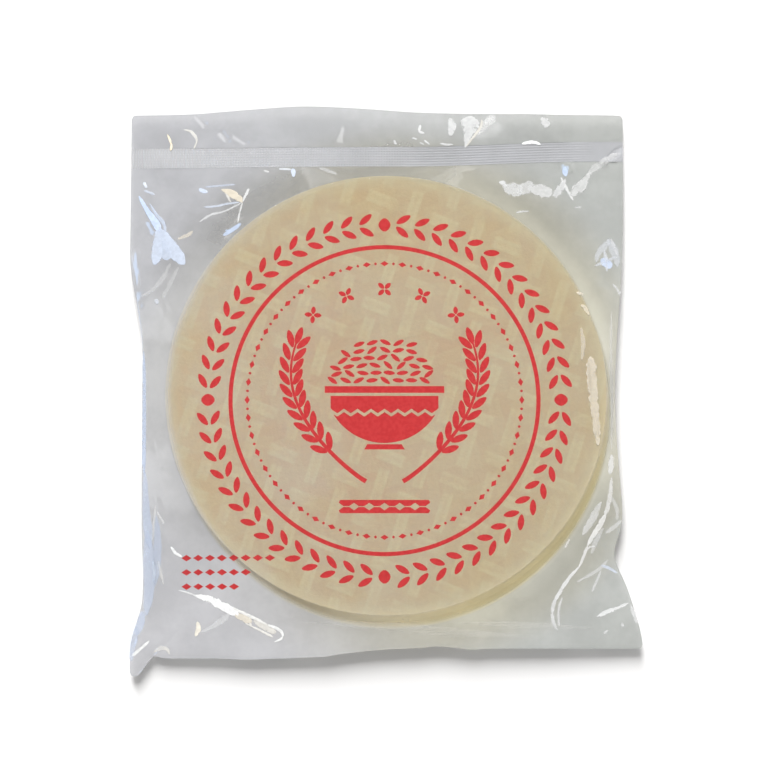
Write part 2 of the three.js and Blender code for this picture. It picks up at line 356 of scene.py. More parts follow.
def pile_tree():
    """A sheet at every place of the pile, turned by chance and hardly tilted."""
    tree, given = geometry_tree("pile_of_sheets", {
        "Sheet": "Object", "Tilt": "Float", "Seed": "Int", "Paper": "Material"})
    sheet = tree_node(tree, "GeometryNodeObjectInfo", {"Object": given["Sheet"]}, "Geometry")
    low = tree_node(tree, "ShaderNodeMath", {0: given["Tilt"], 1: -1.0}, operation="MULTIPLY")
    lowest = tree_node(tree, "ShaderNodeCombineXYZ", {"X": low, "Y": low})
    highest = tree_node(tree, "ShaderNodeCombineXYZ", {
        "X": given["Tilt"], "Y": given["Tilt"], "Z": math.tau})
    turn = tree_node(tree, "FunctionNodeRandomValue", {
        0: lowest, 1: highest, "Seed": given["Seed"]}, data_type="FLOAT_VECTOR")
    places = tree_node(tree, "GeometryNodeMeshToPoints", {"Mesh": given["Geometry"]})
    laid = tree_node(tree, "GeometryNodeInstanceOnPoints", {
        "Points": places, "Instance": sheet, "Rotation": turn})
    return end_tree(tree, laid, given["Paper"])


def leaning_place(height):
    """The middle of the sheet at a height: the foot's sheets have slid further than the rest."""
    lean = 0.42 * (1 - step(height, 5.5, STACK_HEIGHT)) + 0.58 * step(height, 6.2, 4.6)
    return STACK_TOP + lean * (STACK_FOOT - STACK_TOP)


def sheets_below():
    """The sheets under the top one: one thin disc, put at each place of the leaning pile."""
    rng = np.random.default_rng(18)
    heights = SHEET_PITCH * (np.arange(SHEET_COUNT - 2) + 0.66)
    places = [(*(leaning_place(z) + rng.normal(0, 0.22, 2)), z) for z in heights]
    pile = new_object("pile_places", places, [])

    around = 150
    radii = STACK_RADIUS - np.array([RIM_WIDTH, BEAD_FROM_RIM, 0.0])
    plan = disc_rings(radii, around)
    r = np.hypot(*plan.T)
    bead = 0.045 * bell(r - (STACK_RADIUS - BEAD_FROM_RIM), 1.2)
    half = 0.5 * SHEET_THICKNESS + bead + 0.035 * (r > STACK_RADIUS - 0.1)
    points = np.concatenate([np.column_stack([plan, half]), np.column_stack([plan, -half])])
    points[:, :2] += PLAN_CENTRE
    sheet = new_object("one_sheet", points, lens_faces(around, len(radii), len(radii)))
    values = {"Sheet": sheet, "Tilt": SHEET_TILT, "Seed": 5, "Paper": PAPER}
    stack = grown("sheet_stack", pile_tree(), pile.data, values)
    for helper in (pile, sheet):
        bpy.data.objects.remove(helper)
    return stack


sheet = top_sheet()
sheet.data.materials.append(PAPER)
for piece in (sheet, sheets_below()):
    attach(piece, "root")
    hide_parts("sealed_bag")


# ---- The bag's film -------------------------------------------------------------------------
# One tube of clear polypropylene film, 0.05 mm thick, cut to length and welded along its bottom.
# The stack draws its sides in at the middle, so that its corners flare. The film is tight over the
# stack's rims, and creased in the corners, where it is loose.

SEAL_START = 90.5
SEAL_CLIMB = (10.0, 90.0, 2.8)
CORNER = 1.8
EDGE_NEAR, EDGE_FAR, EDGE_REACH = 9.3, 3.2, 34.0
FILM_GAP = 0.12
FILM_RINGS = 54
BACK_RINGS = 10
OUTLINE_STEP = 0.7
RIM_ROUND = 0.08
LEAN_SPOT = (76.0, -68.0)

FILM_THROUGH = (0.76, 0.76, 0.755, 1)
# Haze tints; several hold painted light or shade, as marked where they are used.
HAZE_LEFT_PAINTED_LIGHT = (0.494, 0.502, 0.526, 1)
HAZE_RIGHT = (0.468, 0.486, 0.468, 1)
HAZE_PAINTED_PAPER_LIGHT = (0.505, 0.495, 0.412, 1)
HAZE_PAINTED_SHADE_UNDER_LEAN = (0.385, 0.385, 0.335, 1)
HAZE_PAINTED_LIGHT_ON_SIDE = (0.52, 0.455, 0.25, 1)
HAZE_PAINTED_LIGHT_LOWER_LEFT = (0.58, 0.582, 0.605, 1)
WHITE = (1, 1, 1, 1)

CAMERA_DISTANCE = 1.1
CAMERA_ELEVATION = math.radians(85.0)
LOOKED_AT = Vector((*(-PLAN_CENTRE), 9.0)) * MM
TO_CAMERA = Vector((0.0, -math.cos(CAMERA_ELEVATION), math.sin(CAMERA_ELEVATION)))
CAMERA_AT = LOOKED_AT + TO_CAMERA * CAMERA_DISTANCE
# The lamps that the film's facets mirror: azimuth, from beyond the seal and clockwise, and
# elevation in degrees, and distance in metres.
LAMP_PLACES = {"window": (-82, 46, 1.2), "white": (10, 52, 1.3)}
# The flat facets that handling has pressed into the loose film: the lamp that each one mirrors,
# and the chain of (x, y, width) that it covers.
FILM_FACETS = [
    ("window", (-98.1, 68.4, 1.2), (-95.9, 61.7, 1.6)),
    ("window", (-103.0, 55.5, 1.6), (-102.5, 40.5, 1.6)),
    ("window", (-65.7, 61.5, 1.5), (-58.3, 65.7, 1.3)),
    ("window", (73.4, 91.6, 1.6), (75.6, 90.2, 3.2), (75.4, 87.8, 1.6)),
    ("window", (-101.6, -103.5, 3.0), (-102.4, -108.0, 2.0)),
]


def left_x(y):
    flare = 5.8 * step(y, 12, 56) + 4.5 * step(y, -88, -110)
    return -99.5 - flare + 0.8 * bell(y + 80, 12)


def right_x(y):
    pinch = 4.6 * bell(y + 5, 48) + 4.4 * bell(y + 70, 9.5)
    return 99.6 + 6.4 * step(y, -76, -110) - pinch


def corner_cut(distance):
    """How far a rounded corner cuts back an edge, at a distance from the other edge."""
    inside = CORNER - np.clip(distance, 0, CORNER)
    return CORNER - np.sqrt(CORNER**2 - inside**2)


def bottom_y(x):
    """The weld, with small ripples, and at its left end a corner pulled down like an ear."""
    ear = 7.4 * step(x, -94.6, -101.6)
    ripple = 0.5 * bell(x + 56, 8) + 0.4 * bell(x + 24, 4) + 0.5 * bell(x - 36, 4)
    ripple -= 0.9 * bell(x - 22, 7) + 0.9 * bell(x + 94, 3)
    plain = -108.4 - 4.0 * step(x, 10, -42) - ear - ripple
    return plain + corner_cut(x - left_x(plain)) + corner_cut(right_x(plain) - x)


def seal_y(x):
    """The heat seal's lower border."""
    start, end, climb = SEAL_CLIMB
    return SEAL_START + climb * step(x, start, end)


def lower_outline():
    """The bag's edge below the seal, anticlockwise from the seal's left end, then the seal."""
    left, right = left_x(SEAL_START), right_x(SEAL_START + SEAL_CLIMB[2])
    foot_left, foot_right = bottom_y(left_x(-117.0)), bottom_y(right_x(-109.0))
    down = np.arange(SEAL_START, foot_left, -OUTLINE_STEP)
    along = np.arange(left_x(foot_left), right_x(foot_right), OUTLINE_STEP)
    up = np.arange(foot_right, SEAL_START + SEAL_CLIMB[2], OUTLINE_STEP)
    back = np.arange(right, left, -OUTLINE_STEP)
    return np.concatenate([
        np.column_stack([left_x(down), down]),
        np.column_stack([along, bottom_y(along)]),
        np.column_stack([right_x(up), up]),
        np.column_stack([back, seal_y(back)]),
    ])


BODY_EDGE = lower_outline()


def reach_table():
    """The distance from the stack's middle to the bag's edge, by direction."""
    dx, dy = (BODY_EDGE - STACK_TOP).T
    angle = np.arctan2(dy, dx)
    order = np.argsort(angle)
    return angle[order], np.hypot(dx, dy)[order]


REACH_ANGLE, REACH = reach_table()


def edge_height(x, y):
    """How high the bag's edge floats: half the stack's height beside it and less further out, least
    of all in the upper corners."""
    middle = (STACK_TOP + STACK_FOOT) / 2
    clear = np.maximum(0.0, np.hypot(x - middle[0], y - middle[1]) - STACK_RADIUS)
    reach = EDGE_REACH + 30.0 * step(y, -60, -105)
    return EDGE_FAR + (EDGE_NEAR - EDGE_FAR) * bell(clear, reach)


def cap_height(x, y, r):
    """The film over the stack: flat, with the sheets' rim bead and faint slack ripples."""
    bead = 0.22 * bell(r - (STACK_RADIUS - 2.2), 2.0)
    right_ripple = 0.42 * bell(x - 84.6 + 0.075 * (y + 8), 3.2) * step(np.abs(y + 6), 28, 14)
    slack = 0.05 * np.sin(x / 9.5 + 0.6 * np.sin(y / 17.0)) * np.sin(y / 13.0 + 1.0)
    drop = STACK_RADIUS - np.clip(r, STACK_RADIUS - RIM_ROUND, STACK_RADIUS)
    inside = RIM_ROUND - drop
    rounding = RIM_ROUND - np.sqrt(np.maximum(RIM_ROUND**2 - inside**2, 0))
    return STACK_HEIGHT + FILM_GAP + bead + right_ripple + slack - 0.8 * rounding


def slope_height(share, span, edge):
    """The drawn film between the stack's rim and the bag's edge. share is how far each place lies
    on that way, span how long the way is, and edge the edge's height there."""
    rim = STACK_HEIGHT + FILM_GAP - 0.8 * RIM_ROUND
    sag = 1 + 0.7 * step(span, 8, 50)
    return edge + (rim - edge) * (1 - share) ** sag


def drawn_height(x, y):
    """The front film's height with no creases, at places in plan."""
    dx, dy = x - STACK_TOP[0], y - STACK_TOP[1]
    r, angle = np.hypot(dx, dy), np.arctan2(dy, dx)
    reach = np.interp(angle, REACH_ANGLE, REACH, period=math.tau)
    edge = edge_height(STACK_TOP[0] + reach * np.cos(angle), STACK_TOP[1] + reach * np.sin(angle))
    span = reach - STACK_RADIUS
    share = (r - STACK_RADIUS) / span
    return np.where(share <= 0, cap_height(x, y, r), slope_height(np.clip(share, 0, 1), span, edge))


def loose_folds(count, seed):
    """Small chance folds in the loose film of the corners, most of them along the draw lines, each
    as its two ends, its width on both sides and its height."""
    rng = np.random.default_rng(seed)
    folds = []
    while len(folds) < count:
        x, y = rng.uniform(-103, 103), rng.uniform(-112, 90)
        from_stack = math.dist((x, y), STACK_TOP) - STACK_RADIUS
        if from_stack < 5 or (y < -98 and abs(x) < 64) or (x < -30 and -90 < y < -64):
            continue
        heading = math.atan2(y, x) + math.pi / 2 + rng.normal(0, 0.6)
        length, width = rng.uniform(4, 16), rng.uniform(0.8, 2.4)
        end_x, end_y = x + length * math.cos(heading), y + length * math.sin(heading)
        right = width * rng.uniform(0.7, 1.6)
        folds.append((x, y, end_x, end_y, width, right, width * rng.uniform(0.04, 0.13)))
    return folds


LOOSE_FOLDS = loose_folds(90, 7)


def fold_lift(x, y, folds):
    """How far long tent-shaped folds lift the film at each place."""
    lift = np.zeros_like(x)
    for x0, y0, x1, y1, left, right, height in folds:
        length = math.hypot(x1 - x0, y1 - y0)
        ux, uy = (x1 - x0) / length, (y1 - y0) / length
        along = ((x - x0) * ux + (y - y0) * uy) / length
        across = (y - y0) * ux - (x - x0) * uy
        side = np.where(across > 0, across / left, -across / right)
        ends = step(along, -0.06, 0.3) * step(along, 1.06, 0.7)
        lift = np.maximum(lift, height * np.clip(1 - side, 0, 1) * ends)
    return lift


def toward(azimuth, elevation):
    """The direction from the pack to a lamp."""
    a, e = math.radians(azimuth), math.radians(elevation)
    return Vector((math.sin(a) * math.cos(e), math.cos(a) * math.cos(e), math.sin(e)))


def mirror_slope(x, y, lamp):
    """The slopes, east and north, of a facet that shows a lamp to the camera."""
    azimuth, elevation, distance = LAMP_PLACES[lamp]
    place = Vector((x - PLAN_CENTRE[0], y - PLAN_CENTRE[1], LOOKED_AT.z / MM)) * MM
    lamp_at = toward(azimuth, elevation) * distance
    normal = (CAMERA_AT - place).normalized() + (lamp_at - place).normalized()
    return -normal.x / normal.z, -normal.y / normal.z


def outside_chain(x, y, chain):
    """How far each place lies outside a chain of (x, y, width) with tapered tips."""
    lengths = [math.dist(a[:2], b[:2]) for a, b in zip(chain, chain[1:])]
    nearest, before = np.full(np.shape(x), 1e3), 0.0
    for (x0, y0, w0), (x1, y1, w1), length in zip(chain, chain[1:], lengths):
        t = np.clip(((x - x0) * (x1 - x0) + (y - y0) * (y1 - y0)) / length**2, 0, 1)
        share = (before + t * length) / sum(lengths)
        half = 0.5 * (w0 + (w1 - w0) * t) * np.sqrt(np.clip(9 * share * (1 - share), 0.0, 1.0))
        nearest = np.minimum(nearest, np.hypot(x - x0 - t * (x1 - x0), y - y0 - t * (y1 - y0)) - half)
        before += length
    return nearest


def creased(x, y, height, facets, plain):
    """A film's height with its facets pressed in. plain gives the film's height without them."""
    for lamp, *chain in facets:
        middle_x, middle_y = np.mean(chain, axis=0)[:2]
        east, north = mirror_slope(middle_x, middle_y, lamp)
        flat = plain(middle_x, middle_y) + east * (x - middle_x) + north * (y - middle_y)
        margin = 0.5 + np.minimum(1.3 * np.abs(flat - height), 2.5)
        height = height + (flat - height) * step(outside_chain(x, y, chain), margin, 0.0)
    return height


def loose_height(x, y, share, span, edge):
    """The film between the rim and the edge, with its folds and facets."""
    plain = slope_height(share, span, edge)
    free = step(share * span, 0.0, 3.0) * step((1 - share) * span, 0.0, 1.6)
    folded = plain + fold_lift(x, y, LOOSE_FOLDS)
    return plain + free * (creased(x, y, folded, FILM_FACETS, drawn_height) - plain)


def glint(s, straight, normal=None):
    """The share of light that a thin clear wall mirrors: the same from either side."""
    aside = s.node("LayerWeight", 0.5, normal, out="Facing")
    return s.math("MULTIPLY_ADD", s.math("POWER", aside, 5.0), 1.0 - straight, straight)


def level_normal(s):
    """The surface's normal turned most of the way to upright, on the side that is seen."""
    normal = s.node("NewGeometry", out="Normal")
    side = s.math("SIGN", s.node("SeparateXYZ", normal, out="Z"))
    upright = s.node("CombineXYZ", 0.0, 0.0, s.product(side, 4.0))
    return s.vector("NORMALIZE", s.vector("ADD", normal, upright))


def clear_film():
    """Clear polypropylene: it passes most light, clouds where it is loose, and is glossy."""
    s = Shader("clear_film")
    flat = s.vector("MULTIPLY", s.place(), (1.0, 1.0, 0.0))
    from_top, from_foot, from_lean = (
        s.vector("DISTANCE", flat, in_frame(spot), out="Value")
        for spot in (STACK_TOP, STACK_FOOT, LEAN_SPOT))
    across, upward = s.ramp(s.axis("X"), -0.09, 0.09), s.axis("Y")
    clear = s.math("SUBTRACT", s.math("MINIMUM", from_top, from_foot), MM * STACK_RADIUS)
    beside = s.ramp(clear, MM * 26, MM * 2)
    on_side = s.product(s.ramp(from_top, MM * (STACK_RADIUS - 0.5), MM * (STACK_RADIUS + 1.0)),
                        s.ramp(clear, MM * 0.5, MM * -1.5))

    # How cloudy it is: least over the stack, more outside it, and more still down its leaning side.
    soft_from = s.math("MULTIPLY_ADD", across, MM * 2.2, MM * -3.6)
    cloudy = s.ramp(clear, soft_from, MM * 0.9, 0.13, 0.54)
    # Painted light: extra haze by the rim on the right, over the shade there.
    painted_light_by_rim = s.product(s.ramp(clear, MM * 8, MM * 1), s.ramp(across, 0.5, 1.0, 0.0, 0.14))
    cloudy = s.math("ADD", cloudy, s.product(painted_light_by_rim, s.ramp(clear, MM * -1.5, MM * 0.2)))
    # Painted light: extra haze over the stack's shaded leaning side.
    cloudy = s.math("ADD", cloudy, s.product(on_side, s.ramp(across, 0.2, 0.6, 0.0, 0.22)))
    # It is clearer beyond the seal, and clearer over the top of the stack as painted shade, so that the
    # film reads darker there.
    painted_shade_over_top = s.product(beside, s.ramp(upward, MM * 30, MM * 80), s.ramp(across, 0.45, 1.0, 0.46, 0.24))
    beyond = s.product(s.ramp(upward, MM * 99, MM * 101), s.ramp(across, 0.3, 1.0, 0.03, 0.20))
    for clearer in (painted_shade_over_top, beyond):
        cloudy = s.product(cloudy, s.math("SUBTRACT", 1.0, clearer))
    cloudy = s.math("ADD", cloudy, s.ramp(s.noise(40.0, 4.0, 0.62), 0.3, 0.7, -0.06, 0.06))

    # The haze's tint holds painted light and shade, each marked below.
    # Painted bluish light at the left, fading to the right.
    tint = s.mix(across, HAZE_LEFT_PAINTED_LIGHT, HAZE_RIGHT)
    # Painted yellow light from the paper beside the stack.
    tint = s.mix(s.product(beside, s.ramp(across, 0.0, 0.6, 0.2, 1.0)), tint, HAZE_PAINTED_PAPER_LIGHT)
    # Painted shade where the stack leans over the film.
    shade = s.product(s.ramp(from_lean, MM * 46, MM * 14), s.ramp(clear, MM * -1, MM * 2), beside)
    tint = s.mix(shade, tint, HAZE_PAINTED_SHADE_UNDER_LEAN)
    # Painted warm light over the stack's shaded side.
    tint = s.mix(on_side, tint, HAZE_PAINTED_LIGHT_ON_SIDE)
    # Painted light at the lower left.
    painted_light_lower_left = s.product(s.ramp(upward, MM * 20, MM * -95), s.ramp(across, 0.9, 0.1, 0.0, 0.62))
    tint = s.mix(painted_light_lower_left, tint, HAZE_PAINTED_LIGHT_LOWER_LEFT)

    haze = s.node("BsdfDiffuse", tint, sockets={"Normal": level_normal(s)})
    body = s.node("MixShader", cloudy, s.node("BsdfTransparent", FILM_THROUGH), haze)
    slow = s.noise(60.0, 2.0)
    bump = s.node("Bump", sockets={"Strength": 0.07, "Distance": 0.002, "Height": slow})
    gloss = s.node("BsdfGlossy", WHITE, sockets={"Roughness": 0.09, "Normal": bump})
    return s.finish(s.node("MixShader", glint(s, 0.075, bump), body, gloss))


FILM = clear_film()


def bag_film():
    """Both walls of the bag below the seal, closed along the sides, the weld and the seal."""
    edge = BODY_EDGE
    around = len(edge)
    # Where the edge doubles back, at the lower left corner's ear, the film runs to a smoothed
    # edge first and bends into the ear at its end.
    weights = bell(np.arange(-24, 25), 10.0)
    padded = np.pad(edge, ((24, 24), (0, 0)), mode="wrap")
    eased = np.column_stack([np.convolve(line, weights / weights.sum(), mode="valid") for line in padded.T])
    angle = np.unwrap(np.arctan2(eased[:, 1] - STACK_TOP[1], eased[:, 0] - STACK_TOP[0]))
    outward = np.column_stack([np.cos(angle), np.sin(angle)])
    rim = STACK_TOP + STACK_RADIUS * outward
    span = np.hypot(*(edge - rim).T)
    edge_z = edge_height(*edge.T)

    front = [np.array([[*STACK_TOP, STACK_HEIGHT + FILM_GAP]])]
    from_rim = np.array([7.2, 6.3, 5.4, 4.5, 3.7, 2.9, 2.1, 1.3, 0.7, 0.3, 0.12, 0.05, 0.0])
    for radius in [*np.linspace(12, STACK_RADIUS - 9, 6), *(STACK_RADIUS - from_rim)]:
        x, y = (STACK_TOP + radius * outward).T
        front.append(np.column_stack([x, y, cap_height(x, y, np.full(around, radius))]))
    for share in np.linspace(0, 1, FILM_RINGS + 1)[1:]:
        x, y = (rim + (eased - rim) * share + (edge - eased) * share**10).T
        z = loose_height(x, y, np.full(around, share), span, edge_z)
        front.append(np.column_stack([x, y, z + 0.1 * (share == 1)]))

    foot_angle = np.arctan2(eased[:, 1] - STACK_FOOT[1], eased[:, 0] - STACK_FOOT[0])
    foot = STACK_FOOT + STACK_RADIUS * np.column_stack([np.cos(foot_angle), np.sin(foot_angle)])
    back = [np.array([[*STACK_FOOT, 0.0]]), np.column_stack([foot, np.zeros(around)])]
    for share in 1 - np.linspace(1, 0, BACK_RINGS + 1)[1:] ** 1.5:
        place = foot + (eased - foot) * share + (edge - eased) * share**10
        back.append(np.column_stack([place, (edge_z - 0.1) * share**1.2]))
    faces = lens_faces(around, len(front) - 1, len(back) - 1)
    return new_object("bag_film", np.concatenate([*front, *back]), faces, sharp_from=34)


film = bag_film()
film.data.materials.append(FILM)
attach(film, "root")
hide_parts("sealed_bag")


# ---- The print on the film ------------------------------------------------------------------
# One pass of red ink on the film's outside: a wreath of paired rice grains, a ring, and within it
# a circle of diamonds round a bowl of rice between two ears, with three plain rows of diamonds at
# the lower left. Each mark is a thin plate of ink that follows the film.

PRINT_CENTRE = np.array((0.2, -7.3))
WREATH_RADIUS = 72.0
RING_RADIUS, RING_LINE = 62.8, 1.7
DIAMONDS_RADIUS = 56.0
INK_LIFT = 0.05
INK_THICKNESS = 0.03
NONE_LEFT_OUT = 100000

INK_RED = (0.345, 0.030, 0.033, 1)
INK_PALER = (0.385, 0.040, 0.043, 1)
INK_THROUGH = (1.0, 0.22, 0.2, 1)


def red_ink():
    """Flat red ink, faintly mottled where it lies on the film."""
    s = Shader("red_print")
    colour = s.mix(s.ramp(s.noise(700.0), 0.35, 0.65), INK_RED, INK_PALER)
    ink = s.node("BsdfPrincipled", sockets={"Base Color": colour, "Roughness": 0.32, "IOR": 1.5})
    return s.finish(s.node("MixShader", 0.3, ink, s.node("BsdfTransparent", INK_THROUGH)))


INK = red_ink()


class Marks:
    """Plates of ink gathered into one mesh, each lying in the plan's plane."""

    def __init__(self):
        self.points = []
        self.faces = []

    def band(self, inner, outer, closed=False):
        """Ink between two lines of points, the first on the left of the second."""
        start, count = len(self.points), len(inner)
        for z in (INK_THICKNESS, 0.0):
            for line in (inner, outer):
                self.points.extend((x, y, z) for x, y in line)
        inner_low, outer_low = start + 2 * count, start + 3 * count
        for k in range(count if closed else count - 1):
            a, b = k, (k + 1) % count
            self.faces.append((start + a, start + count + a, start + count + b, start + b))
            self.faces.append((inner_low + b, outer_low + b, outer_low + a, inner_low + a))
            self.faces.append((start + b, inner_low + b, inner_low + a, start + a))
            self.faces.append((start + count + a, outer_low + a, outer_low + b, start + count + b))
        if not closed:
            last = count - 1
            self.faces.append((start, inner_low, outer_low, start + count))
            self.faces.append((start + count + last, outer_low + last, inner_low + last, start + last))

    def plate(self, outline):
        """Ink inside an outline, anticlockwise, that its middle sees all of."""
        middle, count, start = outline.mean(0), len(outline), len(self.points)
        for z in (INK_THICKNESS, 0.0):
            self.points.append((*middle, z))
            self.points.extend((x, y, z) for x, y in outline)
        low = start + 1 + count
        for k in range(count):
            a, b = 1 + k, 1 + (k + 1) % count
            self.faces.append((start, start + a, start + b))
            self.faces.append((low, low + b, low + a))
            self.faces.append((start + a, low + a, low + b, start + b))

    def made(self, name):
        """The plates as an object in plan millimetres, still flat."""
        mesh = bpy.data.meshes.new(name)
        mesh.from_pydata(self.points, [], self.faces)
        piece = bpy.data.objects.new(name, mesh)
        scene.collection.objects.link(piece)
        return piece


def oval(length, width, points=14):
    """A rice grain: an oval drawn in a little towards its ends."""
    t = np.linspace(0, math.tau, points, endpoint=False)
    drawn_in = 1 - 0.25 * np.cos(t) ** 2
    return 0.5 * np.column_stack([length * np.cos(t), width * np.sin(t) * drawn_in])


def turned(outline, angle, x, y):
    """An outline turned and then moved in plan."""
    cos, sin = math.cos(angle), math.sin(angle)
    return outline @ np.array([[cos, sin], [-sin, cos]]) + (x, y)


def circle(radius, count=240, start=0.0):
    """Evenly spaced points round the print's middle."""
    t = np.linspace(start, start + math.tau, count, endpoint=False)
    return PRINT_CENTRE + radius * np.column_stack([np.cos(t), np.sin(t)])


def stamp_tree():
    """A stamp at every point of a line, turned along it and then by a lean, but none at every
    so-manyth point."""
    tree, given = geometry_tree("stamps_along_a_line", {
        "Stamp": "Object", "Lean": "Float", "Aside": "Float", "Left out": "Int", "Ink": "Material"})
    stamp = tree_node(tree, "GeometryNodeObjectInfo", {"Object": given["Stamp"]}, "Geometry")
    line = tree_node(tree, "GeometryNodeMeshToCurve", {"Mesh": given["Geometry"]})
    places = tree_node(tree, "GeometryNodeCurveToPoints", {"Curve": line}, mode="EVALUATED")
    tangent = places.node.outputs["Tangent"]
    heading = tree_node(tree, "FunctionNodeAlignEulerToVector", {"Vector": tangent}, axis="X")
    along = tree_node(tree, "FunctionNodeEulerToRotation", {"Euler": heading})
    upright_turn = tree_node(tree, "ShaderNodeCombineXYZ", {"Z": given["Lean"]})
    lean = tree_node(tree, "FunctionNodeEulerToRotation", {"Euler": upright_turn})
    both = tree_node(tree, "FunctionNodeRotateRotation", {
        "Rotation": along, "Rotate By": lean}, rotation_space="LOCAL")
    sideways = tree_node(tree, "ShaderNodeVectorMath", {
        0: tangent, 1: (0.0, 0.0, 1.0)}, operation="CROSS_PRODUCT")
    shift = tree_node(tree, "ShaderNodeVectorMath", {
        0: sideways, "Scale": given["Aside"]}, operation="SCALE")
    moved = tree_node(tree, "GeometryNodeSetPosition", {"Geometry": places, "Offset": shift})
    index = tree_node(tree, "GeometryNodeInputIndex", {})
    number = tree_node(tree, "ShaderNodeMath", {0: index, 1: 1.0}, operation="ADD")
    beat = tree_node(tree, "ShaderNodeMath", {0: number, 1: given["Left out"]}, operation="MODULO")
    kept = tree_node(tree, "ShaderNodeMath", {0: beat, 1: 0.5}, operation="GREATER_THAN")
    laid = tree_node(tree, "GeometryNodeInstanceOnPoints", {
        "Points": moved, "Selection": kept, "Instance": stamp, "Rotation": both})
    return end_tree(tree, laid, given["Ink"])


STAMPS = stamp_tree()


def stamped(name, line, outline, lean=0.0, aside=0.0, left_out=NONE_LEFT_OUT, closed=True):
    """One kind of mark repeated along a line of plan points."""
    marks = Marks()
    marks.plate(outline)
    stamp = marks.made(name + "_stamp")
    count = len(line)
    mesh = bpy.data.meshes.new(name + "_line")
    edges = [(k, (k + 1) % count) for k in range(count if closed else count - 1)]
    mesh.from_pydata([(x, y, 0.0) for x, y in line], edges, [])
    piece = grown(name, STAMPS, mesh, {
        "Stamp": stamp, "Lean": lean, "Aside": aside, "Left out": left_out, "Ink": INK})
    bpy.data.objects.remove(stamp)
    return piece


FILM_FACES = BVHTree.FromPolygons(
    [v.co for v in film.data.vertices], [tuple(f.vertices) for f in film.data.polygons])


def film_below(x, y):
    """The height of the film's mesh under places in plan."""
    heights = []
    for at_x, at_y in zip((x - PLAN_CENTRE[0]) * MM, (y - PLAN_CENTRE[1]) * MM):
        above = Vector((at_x, at_y, 0.05))
        hit = FILM_FACES.ray_cast(above, Vector((0, 0, -1)))[0]
        heights.append((hit or FILM_FACES.find_nearest(above)[0]).z / MM)
    return np.array(heights)


def on_film(name, pieces, swell=1.0, up=0.0):
    """Joins flat marks, enlarges them round the print's middle, moves them up, lays them on the
    film and gives them their place in the frame."""
    points, faces = [], []
    for piece in pieces:
        start = len(points)
        points += [tuple(v.co) for v in piece.data.vertices]
        faces += [tuple(start + k for k in face.vertices) for face in piece.data.polygons]
        bpy.data.objects.remove(piece)
    points = np.array(points)
    points[:, :2] = (points[:, :2] - PRINT_CENTRE) * swell + PRINT_CENTRE + (0.0, up)
    points[:, 2] += film_below(points[:, 0], points[:, 1]) + INK_LIFT
    piece = new_object(name, points, faces, smooth=False)
    piece.data.materials.append(INK)
    # So thin a coat of ink throws no shadow of its own on the sheets.
    piece.visible_shadow = False
    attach(piece, "root")
    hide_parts("sealed_bag")


def ear(side):
    """A rice ear beside the bowl: a bent stem, and grains that lean out from it on both sides."""
    t = np.linspace(0, 1, 40)
    x = PRINT_CENTRE[0] + side * (6 + 27 * np.sin(1.75 * t) - 4.0 * t**3)
    y = PRINT_CENTRE[1] - 33.0 + 46 * t**1.15
    line = np.column_stack([x, y])
    along = np.gradient(line, axis=0)
    across = np.column_stack([-along[:, 1], along[:, 0]]) / np.hypot(*along.T)[:, None]
    half = (0.75 - 0.45 * t)[:, None]
    stem = Marks()
    stem.band(line + across * half, line - across * half)
    pieces = [stem.made("stem")]
    grain = oval(6.0, 2.3)
    places = line[np.linspace(12, 39, 10).astype(int)]
    for lean, aside in ((0.55, -2.2), (-0.55, 2.2)):
        pieces.append(stamped("ear_grains", places, grain, lean, aside, closed=False))
    tip = line[[-2, -1]] + 3.2 * along[-1] / np.hypot(*along[-1])
    pieces.append(stamped("ear_tip", tip, grain, left_out=2, closed=False))
    return pieces


def bowl():
    """A footed bowl heaped with rice, with a zigzag left bare round it."""
    middle = PRINT_CENTRE - (0.0, 6.0)
    marks = Marks()
    xs = np.linspace(-19.5, 19.5, 53)
    lip = middle + np.column_stack([xs, np.full_like(xs, 3.0)])
    marks.band(lip + (0, 1.1), lip - (0, 1.1))
    xs = np.linspace(-17.6, 17.6, 89)
    top = np.full_like(xs, 0.9)
    side = -14.5 * np.sqrt(1 - (xs / 18.3) ** 2) ** 1.2
    zigzag = -3.3 - 1.5 * np.abs((xs / 4.4 + 0.5) % 1 - 0.5) * 2
    over = np.minimum(np.maximum(zigzag, side), top - 0.05)
    under = np.maximum(zigzag - 1.1, side)
    top, over, under, side = (middle + np.column_stack([xs, ys]) for ys in (top, over, under, side))
    marks.band(top, over)
    kept = under[:, 1] > side[:, 1] + 0.05
    marks.band(under[kept], side[kept])
    marks.plate(middle + np.array([(-6.6, -16.6), (6.6, -16.6), (5.6, -14.9), (-5.6, -14.9)]))
    rng = np.random.default_rng(3)
    heap = Marks()
    for row in range(6):
        half = 17.0 * math.sqrt(1 - (row / 6.0) ** 2)
        for x in np.arange(-half, half + 0.1, 4.3) + 1.1 * (row % 2):
            y = 6.0 + 2.5 * row * (1 - 0.25 * (x / 18) ** 2)
            heap.plate(turned(oval(3.9, 1.5, 10), rng.uniform(-0.75, 0.75), *(middle + (x, y))))
    return [marks.made("bowl"), heap.made("heap")]


